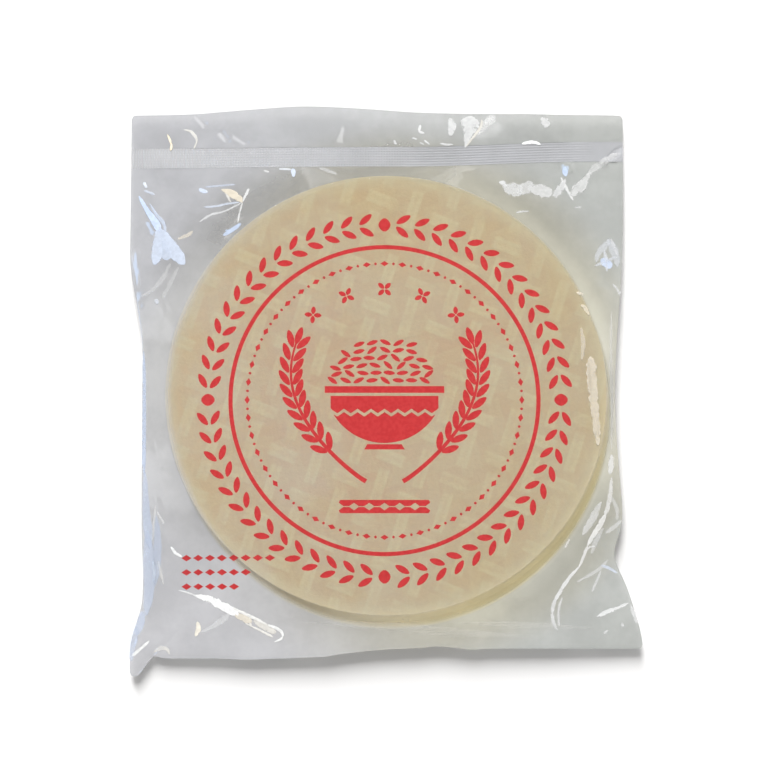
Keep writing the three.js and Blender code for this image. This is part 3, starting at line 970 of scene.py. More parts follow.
def small_marks():
    """An arc of four-petalled rosettes over the bowl, and a bar under it with diamonds left bare."""
    marks = Marks()
    for degrees in (50, 70, 90, 110, 130):
        heading = math.radians(degrees)
        rosette = PRINT_CENTRE + 45.5 * np.array((math.cos(heading), math.sin(heading)))
        for quarter in range(4):
            petal = heading + math.pi / 4 + quarter * math.pi / 2
            place = rosette + 1.9 * np.array((math.cos(petal), math.sin(petal)))
            marks.plate(turned(oval(3.2, 1.9, 12), petal, *place))
    xs = np.linspace(-18.5, 18.5, 149)
    rounding = np.maximum(0.0, np.abs(xs) - 17.5)
    top = 2.7 - (1 - np.sqrt(1 - rounding**2))
    nearest = np.abs((xs + 3.1) % 6.2 - 3.1)
    gap = 0.2 + 1.35 * np.maximum(0.0, 1 - nearest / 1.9)
    bar = PRINT_CENTRE - (0.0, 43.5)
    for left, right in ((top, gap), (-gap, -top)):
        marks.band(bar + np.column_stack([xs, left]), bar + np.column_stack([xs, right]))
    return [marks.made("small_marks")]


ring = Marks()
ring.band(circle(RING_RADIUS - RING_LINE / 2), circle(RING_RADIUS + RING_LINE / 2), closed=True)
on_film("print_ring", [ring.made("ring")])

wreath = [
    stamped("wreath_grains", circle(WREATH_RADIUS, 60, math.tau / 60), oval(6.6, 2.7), lean, aside, 15)
    for lean, aside in ((0.62, 2.6), (-0.62, -2.6))]
wreath.append(stamped("wreath_dots", circle(WREATH_RADIUS, 4), oval(5.0, 5.6)))
on_film("print_wreath", wreath)

t = np.linspace(0, 4, 12, endpoint=False)
diamond = np.column_stack([1.7 * (np.abs(t - 2) - 1), 1.05 * (np.abs((t + 3) % 4 - 2) - 1)])
beads = [stamped("diamonds", circle(DIAMONDS_RADIUS, 48), diamond),
         stamped("dots", circle(DIAMONDS_RADIUS, 48, math.tau / 96), oval(1.1, 1.25, 8))]
on_film("print_diamonds", beads)

on_film("print_bowl", [*bowl(), *ear(1), *ear(-1)], swell=1.25, up=8.0)
on_film("print_small_marks", small_marks())

rows = []
for y, count in ((-71.6, 8), (-77.4, 6), (-83.2, 5)):
    line = [(-80.6 + 4.9 * k, y) for k in range(count)]
    rows.append(stamped("row", line, 1.25 * diamond, closed=False))
on_film("print_rows", rows)


# ---- The creases in the film ----------------------------------------------------------------
# Where the film was folded hard it keeps a fine raised welt. Each welt is a low closed bead along a
# curve, and fades at both edges and both ends. Its colour is painted highlight and reflection,
# bluish, grey or cream, standing in for the glints that the creases catch.

CREASE_STEP = 0.45
CREASE_LIFT = 0.015
WELT_HEIGHT = 0.10
WELT_THICKNESS = 0.004

PAINTED_HIGHLIGHT_BLUISH = (0.51, 0.60, 0.77, 1)
PAINTED_HIGHLIGHT_GREY = (0.69, 0.70, 0.70, 1)
PAINTED_HIGHLIGHT_CREAM = (0.76, 0.68, 0.53, 1)
# Each as (strength of the painted highlight, tone, then its chain of x, y, width). Tone runs from -1,
# bluish, to 1, cream.
CREASES = [
    # Upper left: a fan of fine lines, and a bluish kite-shaped pucker on a long neck.
    (0.32, -0.6, (-74.5, 82.2, 0.8), (-68.0, 82.6, 0.9), (-61.5, 83.0, 0.8)),
    (0.45, -0.5, (-74.6, 73.4, 0.9), (-69.5, 73.6, 1.1), (-64.8, 74.5, 1.1), (-59.6, 75.0, 0.8)),
    (0.42, -0.1, (-76.2, 67.0, 0.8), (-71.4, 69.9, 1.2), (-66.0, 71.2, 0.8), (-61.2, 73.3, 1.0),
     (-58.3, 75.2, 0.9)),
    (0.55, 0.7, (-67.4, 81.0, 1.2), (-63.4, 79.2, 3.2), (-60.2, 76.8, 3.0), (-58.2, 74.8, 1.2)),
    (0.50, 0.3, (-65.8, 80.2, 0.8), (-64.4, 77.2, 1.0), (-63.2, 75.0, 0.7)),
    (0.60, 0.0, (-55.8, 81.0, 1.3), (-57.2, 77.8, 1.2), (-58.3, 75.0, 0.9)),
    (0.48, 0.0, (-58.4, 74.7, 0.9), (-59.4, 70.4, 0.9), (-60.1, 65.6, 0.7)),
    (0.60, -0.8, (-66.2, 60.8, 1.6), (-62.2, 63.0, 2.0), (-58.6, 65.4, 1.3)),
    (0.75, -0.6, (-76.8, 81.5, 1.5), (-74.8, 80.4, 2.0), (-73.0, 79.9, 1.1)),
    (0.75, -0.4, (-100.0, 84.8, 1.5), (-98.7, 82.2, 1.4)),
    (0.50, -0.5, (-99.8, 81.2, 1.1), (-95.3, 79.4, 1.0)),
    (0.85, -0.9, (-102.0, 79.0, 1.2), (-98.4, 72.8, 2.2), (-95.0, 67.8, 3.4), (-92.8, 63.4, 3.4)),
    (0.45, -0.6, (-97.4, 75.6, 0.8), (-94.0, 70.4, 1.4), (-91.2, 66.8, 1.6), (-90.4, 62.6, 0.9)),
    (0.62, -0.6, (-93.2, 66.0, 2.6), (-93.2, 60.0, 5.2), (-93.6, 54.6, 5.6), (-95.0, 49.4, 3.4)),
    (0.62, -0.6, (-92.0, 64.4, 2.2), (-89.4, 58.6, 6.0), (-86.0, 54.0, 6.4), (-82.0, 49.0, 3.2)),
    (0.50, -0.6, (-91.6, 60.0, 3.0), (-90.4, 56.0, 6.0), (-89.2, 51.2, 4.4)),
    (0.30, 0.6, (-85.4, 60.0, 1.0), (-81.0, 61.6, 1.8), (-78.8, 63.2, 0.9)),
    (0.16, 0.0, (-88.0, 50.0, 1.6), (-90.6, 44.6, 2.2), (-95.0, 39.4, 2.0), (-100.0, 36.4, 1.6)),
    (0.14, 0.0, (-84.6, 48.0, 1.6), (-88.0, 41.0, 2.2), (-91.2, 35.0, 1.6)),
    (0.32, -0.4, (-94.2, 35.0, 2.2), (-93.2, 32.6, 1.6)),
    # Under the seal.
    (0.60, -0.3, (-43.6, 89.6, 1.0), (-41.0, 89.5, 1.1), (-38.4, 89.2, 1.0)),
    (0.70, -0.6, (-37.9, 89.8, 1.4), (-37.6, 88.2, 2.3), (-37.3, 85.6, 1.2)),
    (0.50, 0.0, (-50.0, 89.0, 0.9), (-47.6, 88.2, 0.9)),
    (0.22, 0.0, (-27.0, 90.0, 1.2), (-23.4, 88.6, 1.8), (-19.4, 86.6, 1.2)),
    # Upper right: a ragged row, then the draw up to the corner.
    (0.55, 0.0, (47.4, 83.4, 0.9), (49.4, 83.0, 2.4), (50.6, 81.2, 1.2)),
    (0.38, 0.0, (48.8, 82.0, 1.4), (52.6, 80.6, 6.4), (57.4, 79.6, 4.6)),
    (0.34, 0.0, (55.0, 78.8, 1.8), (58.6, 81.0, 5.4), (61.4, 84.0, 3.0)),
    (0.42, 0.1, (59.4, 81.6, 2.6), (64.4, 80.4, 6.4), (69.8, 79.4, 4.6)),
    (0.42, 0.0, (69.8, 77.8, 1.2), (72.4, 80.4, 3.6), (74.6, 84.0, 2.0), (75.4, 85.8, 0.8)),
    (0.42, 0.1, (77.0, 77.8, 1.4), (79.4, 80.6, 4.0), (82.2, 83.2, 4.6), (84.2, 86.4, 2.6),
     (86.0, 89.0, 1.6)),
    (0.26, 0.1, (84.4, 86.8, 1.4), (87.6, 90.6, 3.0), (92.2, 93.4, 3.2), (97.4, 97.0, 2.2)),
    (0.60, 0.1, (73.4, 86.4, 1.0), (75.2, 82.6, 1.3), (78.4, 76.2, 0.9)),
    (0.35, 0.1, (70.8, 77.0, 0.8), (73.6, 81.0, 1.0), (75.0, 84.0, 0.7)),
    (0.75, -0.9, (75.2, 91.0, 1.2), (75.2, 89.0, 2.6), (75.6, 86.8, 1.2)),
    (0.35, 0.0, (54.2, 70.0, 0.8), (57.0, 70.6, 0.9), (59.8, 70.9, 0.7)),
    (0.28, 0.0, (79.0, 73.3, 0.9), (82.0, 73.6, 0.8)),
    # Right.
    (0.62, -0.7, (89.4, 51.6, 2.0), (91.6, 50.2, 4.4), (94.2, 48.4, 2.6)),
    (0.40, -0.3, (91.0, 55.6, 0.9), (91.8, 51.0, 2.0), (92.0, 46.4, 0.9)),
    (0.34, -0.3, (86.8, 48.6, 0.9), (91.0, 50.4, 1.6), (96.2, 53.0, 0.9)),
    (0.26, -0.3, (87.4, 49.8, 1.0), (88.2, 53.4, 2.4), (90.6, 56.6, 3.2), (93.8, 59.8, 2.0)),
    (0.24, -0.3, (92.4, 60.6, 2.0), (94.6, 57.0, 4.0), (96.0, 52.6, 3.4), (96.6, 48.6, 1.8)),
    (0.36, 0.0, (93.8, 60.8, 1.0), (95.2, 57.0, 1.3), (96.6, 53.6, 1.0)),
    (0.40, 0.0, (94.4, 41.4, 0.9), (96.2, 39.4, 1.0), (97.4, 37.0, 0.8)),
    (0.20, 0.2, (93.6, 30.0, 0.9), (93.2, 10.0, 1.6), (93.4, -10.0, 1.4), (93.2, -28.0, 0.9)),
    (0.30, 0.6, (84.3, 10.6, 4.0), (84.6, 6.0, 4.6), (85.2, -4.0, 4.2), (86.2, -14.0, 3.4),
     (87.2, -26.0, 2.8)),
    (0.40, 0.6, (78.6, 37.0, 0.9), (80.2, 36.4, 1.3), (81.8, 36.4, 0.8)),
    (0.36, 0.7, (80.4, 31.8, 0.9), (82.2, 30.4, 1.8), (84.0, 27.4, 1.0)),
    (0.22, 0.6, (80.6, 22.6, 1.2), (81.4, 16.0, 2.0), (80.8, 9.0, 1.2)),
    # Lower right: the long double crease, its branches and the corner's.
    (0.50, 0.2, (93.2, -29.2, 1.4), (92.9, -33.4, 2.8), (92.4, -37.4, 1.8)),
    (0.40, 0.2, (93.2, -38.4, 1.2), (92.6, -45.0, 2.0), (91.6, -50.6, 1.9), (90.2, -54.6, 1.8)),
    (0.55, 0.2, (90.8, -53.4, 1.6), (88.6, -57.4, 2.4), (85.8, -61.8, 2.2), (82.8, -66.8, 1.3)),
    (0.45, 0.2, (83.2, -66.4, 1.1), (82.0, -69.4, 1.4), (80.6, -73.0, 1.1), (79.2, -75.6, 0.9)),
    (0.52, 0.1, (79.8, -74.8, 1.0), (75.2, -80.0, 1.6), (71.2, -86.2, 1.7), (69.2, -90.0, 1.1)),
    (0.42, 0.0, (71.4, -85.8, 1.1), (69.2, -90.2, 1.6), (68.7, -95.0, 1.6), (69.6, -99.0, 1.3),
     (71.2, -101.2, 0.8)),
    (0.32, 0.0, (72.8, -87.4, 0.9), (71.4, -91.6, 1.2), (71.2, -96.0, 1.1), (71.6, -99.4, 0.8)),
    (0.40, 0.2, (82.4, -68.6, 0.9), (84.0, -67.2, 1.3), (86.2, -66.8, 0.8)),
    (0.28, 0.1, (88.8, -48.4, 1.2), (86.0, -54.0, 3.4), (82.8, -59.2, 2.8), (80.8, -62.4, 1.2)),
    (0.20, 0.1, (89.8, -59.0, 1.2), (86.4, -65.0, 2.2), (84.6, -70.0, 1.2)),
    (0.24, 0.1, (91.8, -72.2, 1.0), (87.6, -76.2, 1.5), (83.0, -79.0, 1.3), (78.6, -81.4, 0.9)),
    (0.28, 0.0, (88.8, -76.6, 0.9), (86.8, -81.0, 1.4), (84.8, -85.6, 0.8)),
    (0.45, -0.5, (88.6, -74.4, 0.9), (91.6, -75.4, 1.4), (95.6, -77.6, 0.9)),
    (0.26, 0.1, (90.6, -61.4, 1.3), (94.6, -58.6, 2.0), (97.4, -56.0, 1.0)),
    (0.20, 0.1, (92.4, -46.0, 1.2), (95.2, -50.6, 1.8), (95.6, -56.0, 1.2)),
    (0.60, 0.0, (86.8, -95.4, 1.4), (92.0, -93.2, 2.0), (100.2, -89.8, 1.0)),
    (0.45, 0.0, (100.8, -90.4, 1.0), (102.2, -93.6, 2.0), (103.6, -98.2, 1.3)),
    (0.40, 0.0, (97.4, -97.8, 1.2), (97.8, -99.8, 1.1)),
    (0.32, 0.0, (89.8, -102.4, 1.1), (91.6, -100.8, 1.0)),
    (0.40, 0.3, (73.6, -67.6, 1.0), (75.6, -63.8, 0.9)),
    # Lower left: the broad white crease, its cream panels and its hook, and the ear's.
    (0.90, 0.0, (-87.2, -66.8, 0.9), (-85.2, -69.4, 1.4), (-82.4, -71.2, 1.0)),
    (0.95, 0.0, (-77.6, -86.6, 1.1), (-72.6, -88.0, 2.8), (-67.0, -90.4, 3.9),
     (-61.6, -93.4, 3.6), (-58.8, -95.2, 1.6)),
    (0.60, 0.0, (-84.0, -84.6, 0.6), (-79.0, -86.0, 0.9), (-73.0, -88.6, 1.1)),
    (0.80, 0.2, (-63.4, -91.2, 1.1), (-54.0, -95.4, 1.5), (-47.2, -99.0, 1.3)),
    (0.85, 0.1, (-48.0, -98.7, 1.1), (-43.4, -100.3, 1.4), (-41.4, -102.4, 1.3),
     (-42.0, -104.4, 1.1), (-44.8, -105.7, 0.7)),
    (0.50, 0.6, (-61.0, -94.4, 1.8), (-57.4, -96.0, 3.4), (-53.8, -97.6, 2.4)),
    (0.70, 0.4, (-54.4, -94.8, 0.8), (-55.0, -97.0, 1.1), (-54.0, -99.2, 0.9)),
    (0.70, 0.3, (-56.6, -98.0, 0.8), (-49.6, -101.4, 1.1), (-45.2, -103.7, 1.0)),
    (0.50, 0.35, (-53.2, -96.8, 2.0), (-48.4, -99.6, 3.2), (-43.8, -102.0, 2.2)),
    (0.75, 0.5, (-76.2, -97.4, 1.2), (-75.8, -100.6, 2.3), (-77.2, -103.4, 1.5)),
    (0.24, 0.0, (-75.0, -101.8, 1.2), (-69.6, -99.2, 2.0), (-65.6, -96.4, 3.0), (-63.0, -94.6, 1.8)),
    (0.85, 0.0, (-103.4, -111.5, 1.3), (-100.4, -109.3, 1.4), (-96.0, -105.2, 1.0)),
    (0.30, -0.6, (-102.6, -96.4, 1.8), (-102.4, -102.0, 4.0), (-103.2, -108.6, 3.0),
     (-103.4, -113.6, 1.4)),
    (0.45, 0.3, (-94.2, -109.8, 1.0), (-91.4, -108.2, 1.8), (-88.8, -108.6, 1.6), (-87.6, -110.8, 1.0)),
    # Down the left edge.
    (0.40, -0.8, (-99.0, 14.0, 1.0), (-98.6, 0.0, 1.6), (-98.5, -20.0, 1.8), (-98.5, -38.0, 1.6)),
    (0.30, -0.7, (-98.2, -36.0, 1.8), (-97.6, -50.0, 3.2), (-96.8, -60.0, 4.2), (-95.8, -68.0, 2.6)),
    (0.27, -0.7, (-97.2, -60.0, 2.4), (-96.4, -72.0, 5.0), (-96.2, -84.0, 4.8), (-97.4, -95.0, 3.0)),
    (0.20, -0.8, (-93.4, -54.0, 1.6), (-92.8, -63.0, 3.4), (-93.0, -74.0, 3.6), (-93.8, -83.0, 1.8)),
    (0.24, -0.8, (-98.8, -93.0, 2.0), (-99.6, -98.0, 3.6), (-101.6, -103.0, 2.4)),
    (0.55, -0.5, (-94.6, -72.4, 0.9), (-94.1, -76.6, 1.6), (-94.4, -81.2, 1.0)),
    (0.28, 0.0, (-93.6, -50.0, 1.0), (-94.2, -57.0, 1.2), (-94.8, -65.0, 0.9)),
    (0.32, 0.0, (-92.8, -52.6, 1.0), (-90.0, -57.6, 1.0)),
    (0.32, 0.2, (-92.6, -72.4, 1.0), (-91.2, -78.0, 1.4), (-90.2, -82.4, 0.9)),
]
# Bottom: faint stretch lines along the weld.
CREASES += [
    (0.05 + 0.02 * (k % 3), 0.3, (-34.0 + 9 * k, -98.0 - 0.9 * (k % 7), 0.6),
     (-10.0 + 9 * k, -97.8 - 0.9 * (k % 7), 0.9), (14.0 + 8 * k, -98.4 - 0.8 * (k % 7), 0.6))
    for k in range(10)]


def painted_highlight_film():
    """Painted highlights and reflections on the creases: it hides what is below by its strength, in its
    tone, and shines. Its edges are ragged, the bluish ones' less so."""
    s = Shader("painted_highlight_film")
    strength, tone, cover = (
        s.node("Attribute", attribute_name=name, out="Fac") for name in ("painted_highlight", "tone", "cover"))
    ragged = s.ramp(s.noise(420.0, 4.0, 0.6), 0.30, 0.70, -0.5, 0.5)
    ragged = s.product(ragged, s.ramp(tone, -0.8, -0.2, 0.2, 0.85))
    cover = s.ramp(s.math("ADD", cover, ragged), 0.10, 0.52)
    streaks = s.ramp(s.noise(500.0, 2.0), 0.35, 0.65, 0.84, 1.0)
    colour = s.mix(s.ramp(tone, -1.0, 0.0), PAINTED_HIGHLIGHT_BLUISH, PAINTED_HIGHLIGHT_GREY)
    colour = s.mix(s.ramp(tone, 0.0, 1.0), colour, PAINTED_HIGHLIGHT_CREAM)
    haze = s.node("BsdfDiffuse", colour, sockets={"Normal": level_normal(s)})
    gloss = s.node("BsdfGlossy", WHITE, sockets={"Roughness": 0.14})
    body = s.node("MixShader", glint(s, 0.06), haze, gloss)
    seen = s.product(strength, cover, streaks)
    return s.finish(s.node("MixShader", seen, s.node("BsdfTransparent", WHITE), body))


PAINTED_HIGHLIGHTS = painted_highlight_film()


def smoothed(chain):
    """A chain of (x, y, width) as a smooth curve of evenly spaced points, with tapered ends."""
    chain = np.array(chain)
    padded = np.vstack([2 * chain[0] - chain[1], chain, 2 * chain[-1] - chain[-2]])
    line = []
    for before, start, end, after in zip(padded, padded[1:], padded[2:], padded[3:]):
        count = max(2, int(math.hypot(*(end - start)[:2]) / CREASE_STEP))
        for t in np.arange(count) / count:
            bend = (2 * before - 5 * start + 4 * end - after) * t**2
            turn = (3 * start - before - 3 * end + after) * t**3
            line.append(0.5 * (2 * start + (end - before) * t + bend + turn))
    line = np.array([*line, chain[-1]])
    share = np.linspace(0, 1, len(line))
    line[:, 2] *= np.sqrt(np.clip(9 * share * (1 - share), 0.0, 1.0)) + 0.04
    return line


def crease_beads(name, creases, below):
    """The creases' beads as one mesh, laid on a film whose height below() gives."""
    points, faces = [], []
    values = {"painted_highlight": [], "tone": [], "cover": []}
    places = np.array([-1.0, -0.7, 0.0, 0.7, 1.0])
    crown = np.array([0.0, 0.6, 1.0, 0.6, 0.0])
    for strength, tone, *chain in creases:
        line = smoothed(chain)
        width = line[:, 2]
        along = np.gradient(line[:, :2], axis=0)
        across = np.column_stack([-along[:, 1], along[:, 0]]) / np.hypot(*along.T)[:, None]
        start, count = len(points), len(line)
        for top in (True, False):
            for place, rise in zip(places[::-1] if top else places, crown):
                x, y = (line[:, :2] + across * (0.5 * place * width)[:, None]).T
                lift = CREASE_LIFT + top * (WELT_HEIGHT * rise * np.minimum(width, 1.5) + WELT_THICKNESS)
                points += list(zip(x, y, below(x, y) + lift))
                values["painted_highlight"] += [strength] * count
                values["tone"] += [tone] * count
                values["cover"] += [rise] * count
        for k in range(10):
            a, b = start + k * count, start + ((k + 1) % 10) * count
            faces += [(a + i, b + i, b + i + 1, a + i + 1) for i in range(count - 1)]
        faces.append([start + k * count for k in range(9, -1, -1)])
        faces.append([start + k * count + count - 1 for k in range(10)])
    beads = new_object(name, points, faces)
    for label, numbers in values.items():
        beads.data.attributes.new(label, "FLOAT", "POINT").data.foreach_set("value", numbers)
    beads.data.materials.append(PAINTED_HIGHLIGHTS)
    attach(beads, "root")
    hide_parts("sealed_bag")


crease_beads("film_creases", CREASES, film_below)


# ---- The heat seal --------------------------------------------------------------------------
# A band across the bag where two knurled hot jaws have fused both walls. The jaws' small square
# teeth leave upright ribs at the left, a grid in the middle and level ridges at the right, where
# they closed less tightly.

SEAL_HEIGHT = 8.4
SEAL_PITCH = 1.1
SEAL_RELIEF = 0.24
SEAL_THICKNESS = 0.42
SEAL_ROWS = 32
RIDGES_FROM, RIBS_TO, TEETH_FADE_FROM = 16.0, 100.0, 175.0
CRUMB_SPOT = (-11.5, 4.6)
# The draw that runs up through the seal's right end.
SEAL_FACETS = [("white", (101.0, 99.6, 2.0), (97.0, 96.4, 3.4), (93.5, 93.4, 3.0))]

SEAL_THROUGH = (0.80, 0.805, 0.81, 1)
SEAL_VIOLET = (0.55, 0.555, 0.568, 1)
SEAL_MILKY = (0.49, 0.50, 0.518, 1)


def fused_film():
    """Fused film: milky, slightly violet at the left, with a dull gloss."""
    s = Shader("heat_seal")
    across = s.axis("X")
    cloud = s.ramp(s.noise(60.0), 0.3, 0.7, -0.04, 0.04)
    share = s.math("ADD", s.ramp(across, -0.075, 0.02, 0.50, 0.42), cloud)
    haze = s.node("BsdfDiffuse", s.mix(s.ramp(across, -0.09, 0.0), SEAL_VIOLET, SEAL_MILKY))
    body = s.node("MixShader", share, s.node("BsdfTransparent", SEAL_THROUGH), haze)
    gloss = s.node("BsdfGlossy", WHITE, sockets={"Roughness": 0.22})
    return s.finish(s.node("MixShader", glint(s, 0.06), body, gloss))


FUSED = fused_film()


def jaw_tree():
    """Presses the jaws' teeth into a flat band's upper face, by its place along and across it."""
    tree, given = geometry_tree("pressed_by_jaws", {
        "Pitch": "Float", "Relief": "Float", "Ridges from": "Float", "Ribs to": "Float",
        "Fades from": "Float", "Film": "Material"})

    def calculated(operation, *values):
        return tree_node(tree, "ShaderNodeMath", dict(enumerate(values)), operation=operation)

    def eased(value, start, end, low, high):
        return tree_node(tree, "ShaderNodeMapRange", {
            "Value": value, "From Min": start, "From Max": end, "To Min": low, "To Max": high,
        }, "Result", interpolation_type="SMOOTHSTEP")

    def eased_from(name, width, low, high):
        return eased(x, given[name], calculated("ADD", given[name], width), low, high)

    place = tree_node(tree, "GeometryNodeInputPosition", {})
    x, y, z = tree_node(tree, "ShaderNodeSeparateXYZ", {0: place}).node.outputs
    turns = calculated("DIVIDE", math.tau, given["Pitch"])
    groove_x, groove_y = (
        eased(calculated("COSINE", calculated("MULTIPLY", axis, turns)), -0.5, 0.3, 1.0, 0.0)
        for axis in (x, y))
    ribs = calculated("MULTIPLY", groove_x, eased_from("Ribs to", 25.0, 1.0, 0.12))
    ridges = calculated("MULTIPLY", groove_y, eased_from("Ridges from", 30.0, 0.3, 1.0))
    teeth = calculated("MAXIMUM", ribs, ridges)
    deep = calculated("MULTIPLY", teeth, eased_from("Fades from", 20.0, 1.0, 0.0))
    press = calculated("MULTIPLY", deep, given["Relief"])
    offset = tree_node(tree, "ShaderNodeCombineXYZ", {"Z": calculated("MULTIPLY", press, -1.0)})
    pressed = tree_node(tree, "GeometryNodeSetPosition", {
        "Geometry": given["Geometry"], "Selection": calculated("GREATER_THAN", z, 0.0), "Offset": offset})
    return end_tree(tree, pressed, given["Film"])


def seal_surface(x, y):
    """The height of the band's middle: level across the bag, with its draw pressed in."""
    plain = edge_height(x, y)
    free = step(x, 86.0, 92.0)
    return plain + free * (creased(x, y, plain, SEAL_FACETS, edge_height) - plain)


def seal_band():
    """The band: a flat slab, pressed by the jaws, then bent to the seal's line and height."""
    left, right = left_x(SEAL_START), right_x(SEAL_START + 3)
    columns = 4 * int((right - left) / SEAL_PITCH)
    along = np.linspace(0, right - left, columns)
    across = np.linspace(0, SEAL_HEIGHT, SEAL_ROWS)
    points = []
    for lines, z in ((across, SEAL_THICKNESS / 2), (across[[0, -1]], -SEAL_THICKNESS / 2)):
        points += [(x, y, z) for y in lines for x in along]
    faces = []
    for row in range(SEAL_ROWS - 1):
        for k in range(columns - 1):
            a = row * columns + k
            faces.append((a, a + 1, a + columns + 1, a + columns))
    low, last = SEAL_ROWS * columns, (SEAL_ROWS - 1) * columns
    for k in range(columns - 1):
        a, b = low + k, low + columns + k
        faces.append((a, b, b + 1, a + 1))
        faces.append((k, a, a + 1, k + 1))
        faces.append((last + k + 1, b + 1, b, last + k))
    faces.append([*range(0, last + 1, columns), low + columns, low])
    faces.append([*range(last + columns - 1, 0, -columns), low + columns - 1, low + 2 * columns - 1])
    mesh = bpy.data.meshes.new("seal_slab")
    mesh.from_pydata(points, [], faces)
    slab = grown("seal_slab", jaw_tree(), mesh, {
        "Pitch": SEAL_PITCH, "Relief": SEAL_RELIEF, "Ridges from": RIDGES_FROM, "Ribs to": RIBS_TO,
        "Fades from": TEETH_FADE_FROM, "Film": FUSED})
    x, y, z = np.array([tuple(v.co) for v in slab.data.vertices]).T
    faces = [tuple(f.vertices) for f in slab.data.polygons]
    bpy.data.objects.remove(slab)
    x = x + left
    # A rough spot where the jaws caught a crumb.
    spot = bell(np.hypot(x - CRUMB_SPOT[0], y - CRUMB_SPOT[1]), 2.3)
    rough = spot * (0.24 * np.sin(5.1 * x) * np.sin(4.3 * y + 1.0) - 0.05) * (z > 0)
    y = y + seal_y(x)
    bent = np.column_stack([x, y, z + rough + seal_surface(x, y)])
    return new_object("seal_band", bent, faces, sharp_from=60)


seal = seal_band()
seal.data.materials.append(FUSED)
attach(seal, "root")
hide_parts("sealed_bag")


# ---- The header flap ------------------------------------------------------------------------
# The loose end of the tube beyond the seal: two layers of the same film that hang together in
# shallow waves, with a few sharp dents and creases from handling.

FLAP_COLUMNS, FLAP_ROWS = 320, 30
WALL_FROM_MIDDLE, WALLS_PART = 0.12, 0.10
# The flap's long waves, each as (length, depth, phase).
FLAP_WAVES = ((70.0, 0.45, 0.6), (31.0, 0.22, 2.1))
FLAP_FACETS = [
    ("white", (-79.4, 112.7, 1.6), (-74.6, 107.4, 2.6)),
    ("white", (-69.4, 105.6, 3.2), (-65.6, 101.2, 2.0)),
    ("white", (-63.6, 104.0, 2.8), (-56.6, 99.6, 1.8)),
    ("white", (-16.6, 108.0, 1.4), (-19.0, 99.8, 3.9)),
]
# The flap's creases, with the same painted highlights as the film's.
FLAP_CREASES = [
    (0.95, 0.9, (-90.3, 105.0, 0.8), (-89.1, 102.2, 1.0), (-88.5, 99.8, 1.1), (-89.0, 97.8, 0.9)),
    (0.60, 0.3, (-83.6, 106.9, 0.8), (-80.8, 106.2, 1.1), (-79.2, 104.6, 1.5),
     (-78.0, 102.2, 0.9), (-79.2, 98.6, 0.8)),
    (0.60, 0.0, (15.2, 108.4, 0.9), (14.8, 105.8, 1.8), (16.8, 104.6, 0.9)),
    (0.50, 0.0, (11.6, 102.8, 1.0), (13.8, 102.2, 0.9)),
    (0.55, 0.0, (16.6, 101.8, 0.8), (19.0, 99.9, 1.0)),
    (0.45, 0.0, (14.8, 100.8, 0.8), (16.6, 99.8, 0.7)),
    (0.45, 0.0, (23.2, 100.4, 0.9), (26.4, 99.8, 1.0), (28.8, 100.0, 0.8)),
    (0.55, 0.0, (4.1, 101.8, 0.9), (5.2, 99.8, 1.2)),
    (0.95, 0.0, (57.2, 100.5, 0.9), (60.0, 101.1, 1.5), (62.6, 101.2, 1.5), (65.4, 100.3, 0.9)),
    (0.55, 0.4, (40.8, 111.0, 1.0), (40.2, 107.4, 1.3), (36.8, 102.8, 1.2), (33.8, 98.9, 0.9)),
    (0.50, 0.0, (33.6, 98.4, 0.6), (34.4, 101.8, 2.6), (35.4, 106.0, 5.6), (36.0, 109.4, 8.0),
     (36.2, 112.4, 8.0)),
    (0.35, 0.1, (38.6, 103.6, 0.8), (41.2, 107.0, 2.6), (44.0, 110.2, 4.2), (46.4, 112.4, 4.0)),
    (0.50, 0.0, (27.4, 111.4, 1.8), (28.4, 107.6, 3.6), (27.4, 103.6, 2.0)),
    (0.45, 0.0, (65.4, 111.8, 1.6), (67.4, 109.8, 4.2), (67.0, 107.4, 1.8)),
]


def top_y(x):
    """The flap's cut edge, which bulges a little left of its middle."""
    plain = 112.9 + 3.6 * bell(x + 31, 36) + 0.5 * bell(x - 52, 24)
    return plain - corner_cut(x - left_x(plain)) - corner_cut(right_x(plain) - x)


def flap_wave(x, y):
    """The flap's height with its waves alone, which grow from the seal outwards."""
    grown_in = step(y, seal_y(x) + SEAL_HEIGHT, 116.0)
    wave = sum(depth * np.sin(math.tau * x / length + phase) for length, depth, phase in FLAP_WAVES)
    return edge_height(x, y) + wave * grown_in


def flap_height(x, y):
    """The flap's height with its dents."""
    plain = flap_wave(x, y)
    free = np.clip((y - seal_y(x) - SEAL_HEIGHT) / 1.5, 0, 1)
    return plain + free * (creased(x, y, plain, FLAP_FACETS, flap_wave) - plain)


def header_flap():
    """Both walls beyond the seal, which part a little towards the cut edge."""
    left, right = left_x(112.0), right_x(112.0)
    xs = left + (right - left) * np.linspace(0, 1, FLAP_COLUMNS)
    low = seal_y(xs) + SEAL_HEIGHT
    points, faces = [], []
    for side in (1, -1):
        for share in np.linspace(0, 1, FLAP_ROWS):
            y = low + (top_y(xs) - low) * share
            apart = side * (WALL_FROM_MIDDLE + WALLS_PART * share)
            points.append(np.column_stack([xs, y, flap_height(xs, y) + apart]))
    columns, lower = FLAP_COLUMNS, FLAP_ROWS * FLAP_COLUMNS
    for row in range(FLAP_ROWS - 1):
        for k in range(columns - 1):
            a = row * columns + k
            faces.append((a, a + 1, a + columns + 1, a + columns))
            faces.append((lower + a, lower + a + columns, lower + a + columns + 1, lower + a + 1))
    last = lower - columns
    for k in range(columns - 1):
        faces.append((k, lower + k, lower + k + 1, k + 1))
        faces.append((last + k + 1, lower + last + k + 1, lower + last + k, last + k))
    for a in range(0, last, columns):
        b = a + columns
        faces.append((b, lower + b, lower + a, a))
        a, b = a + columns - 1, b + columns - 1
        faces.append((a, lower + a, lower + b, b))
    return new_object("header_flap", np.concatenate(points), faces, sharp_from=50)


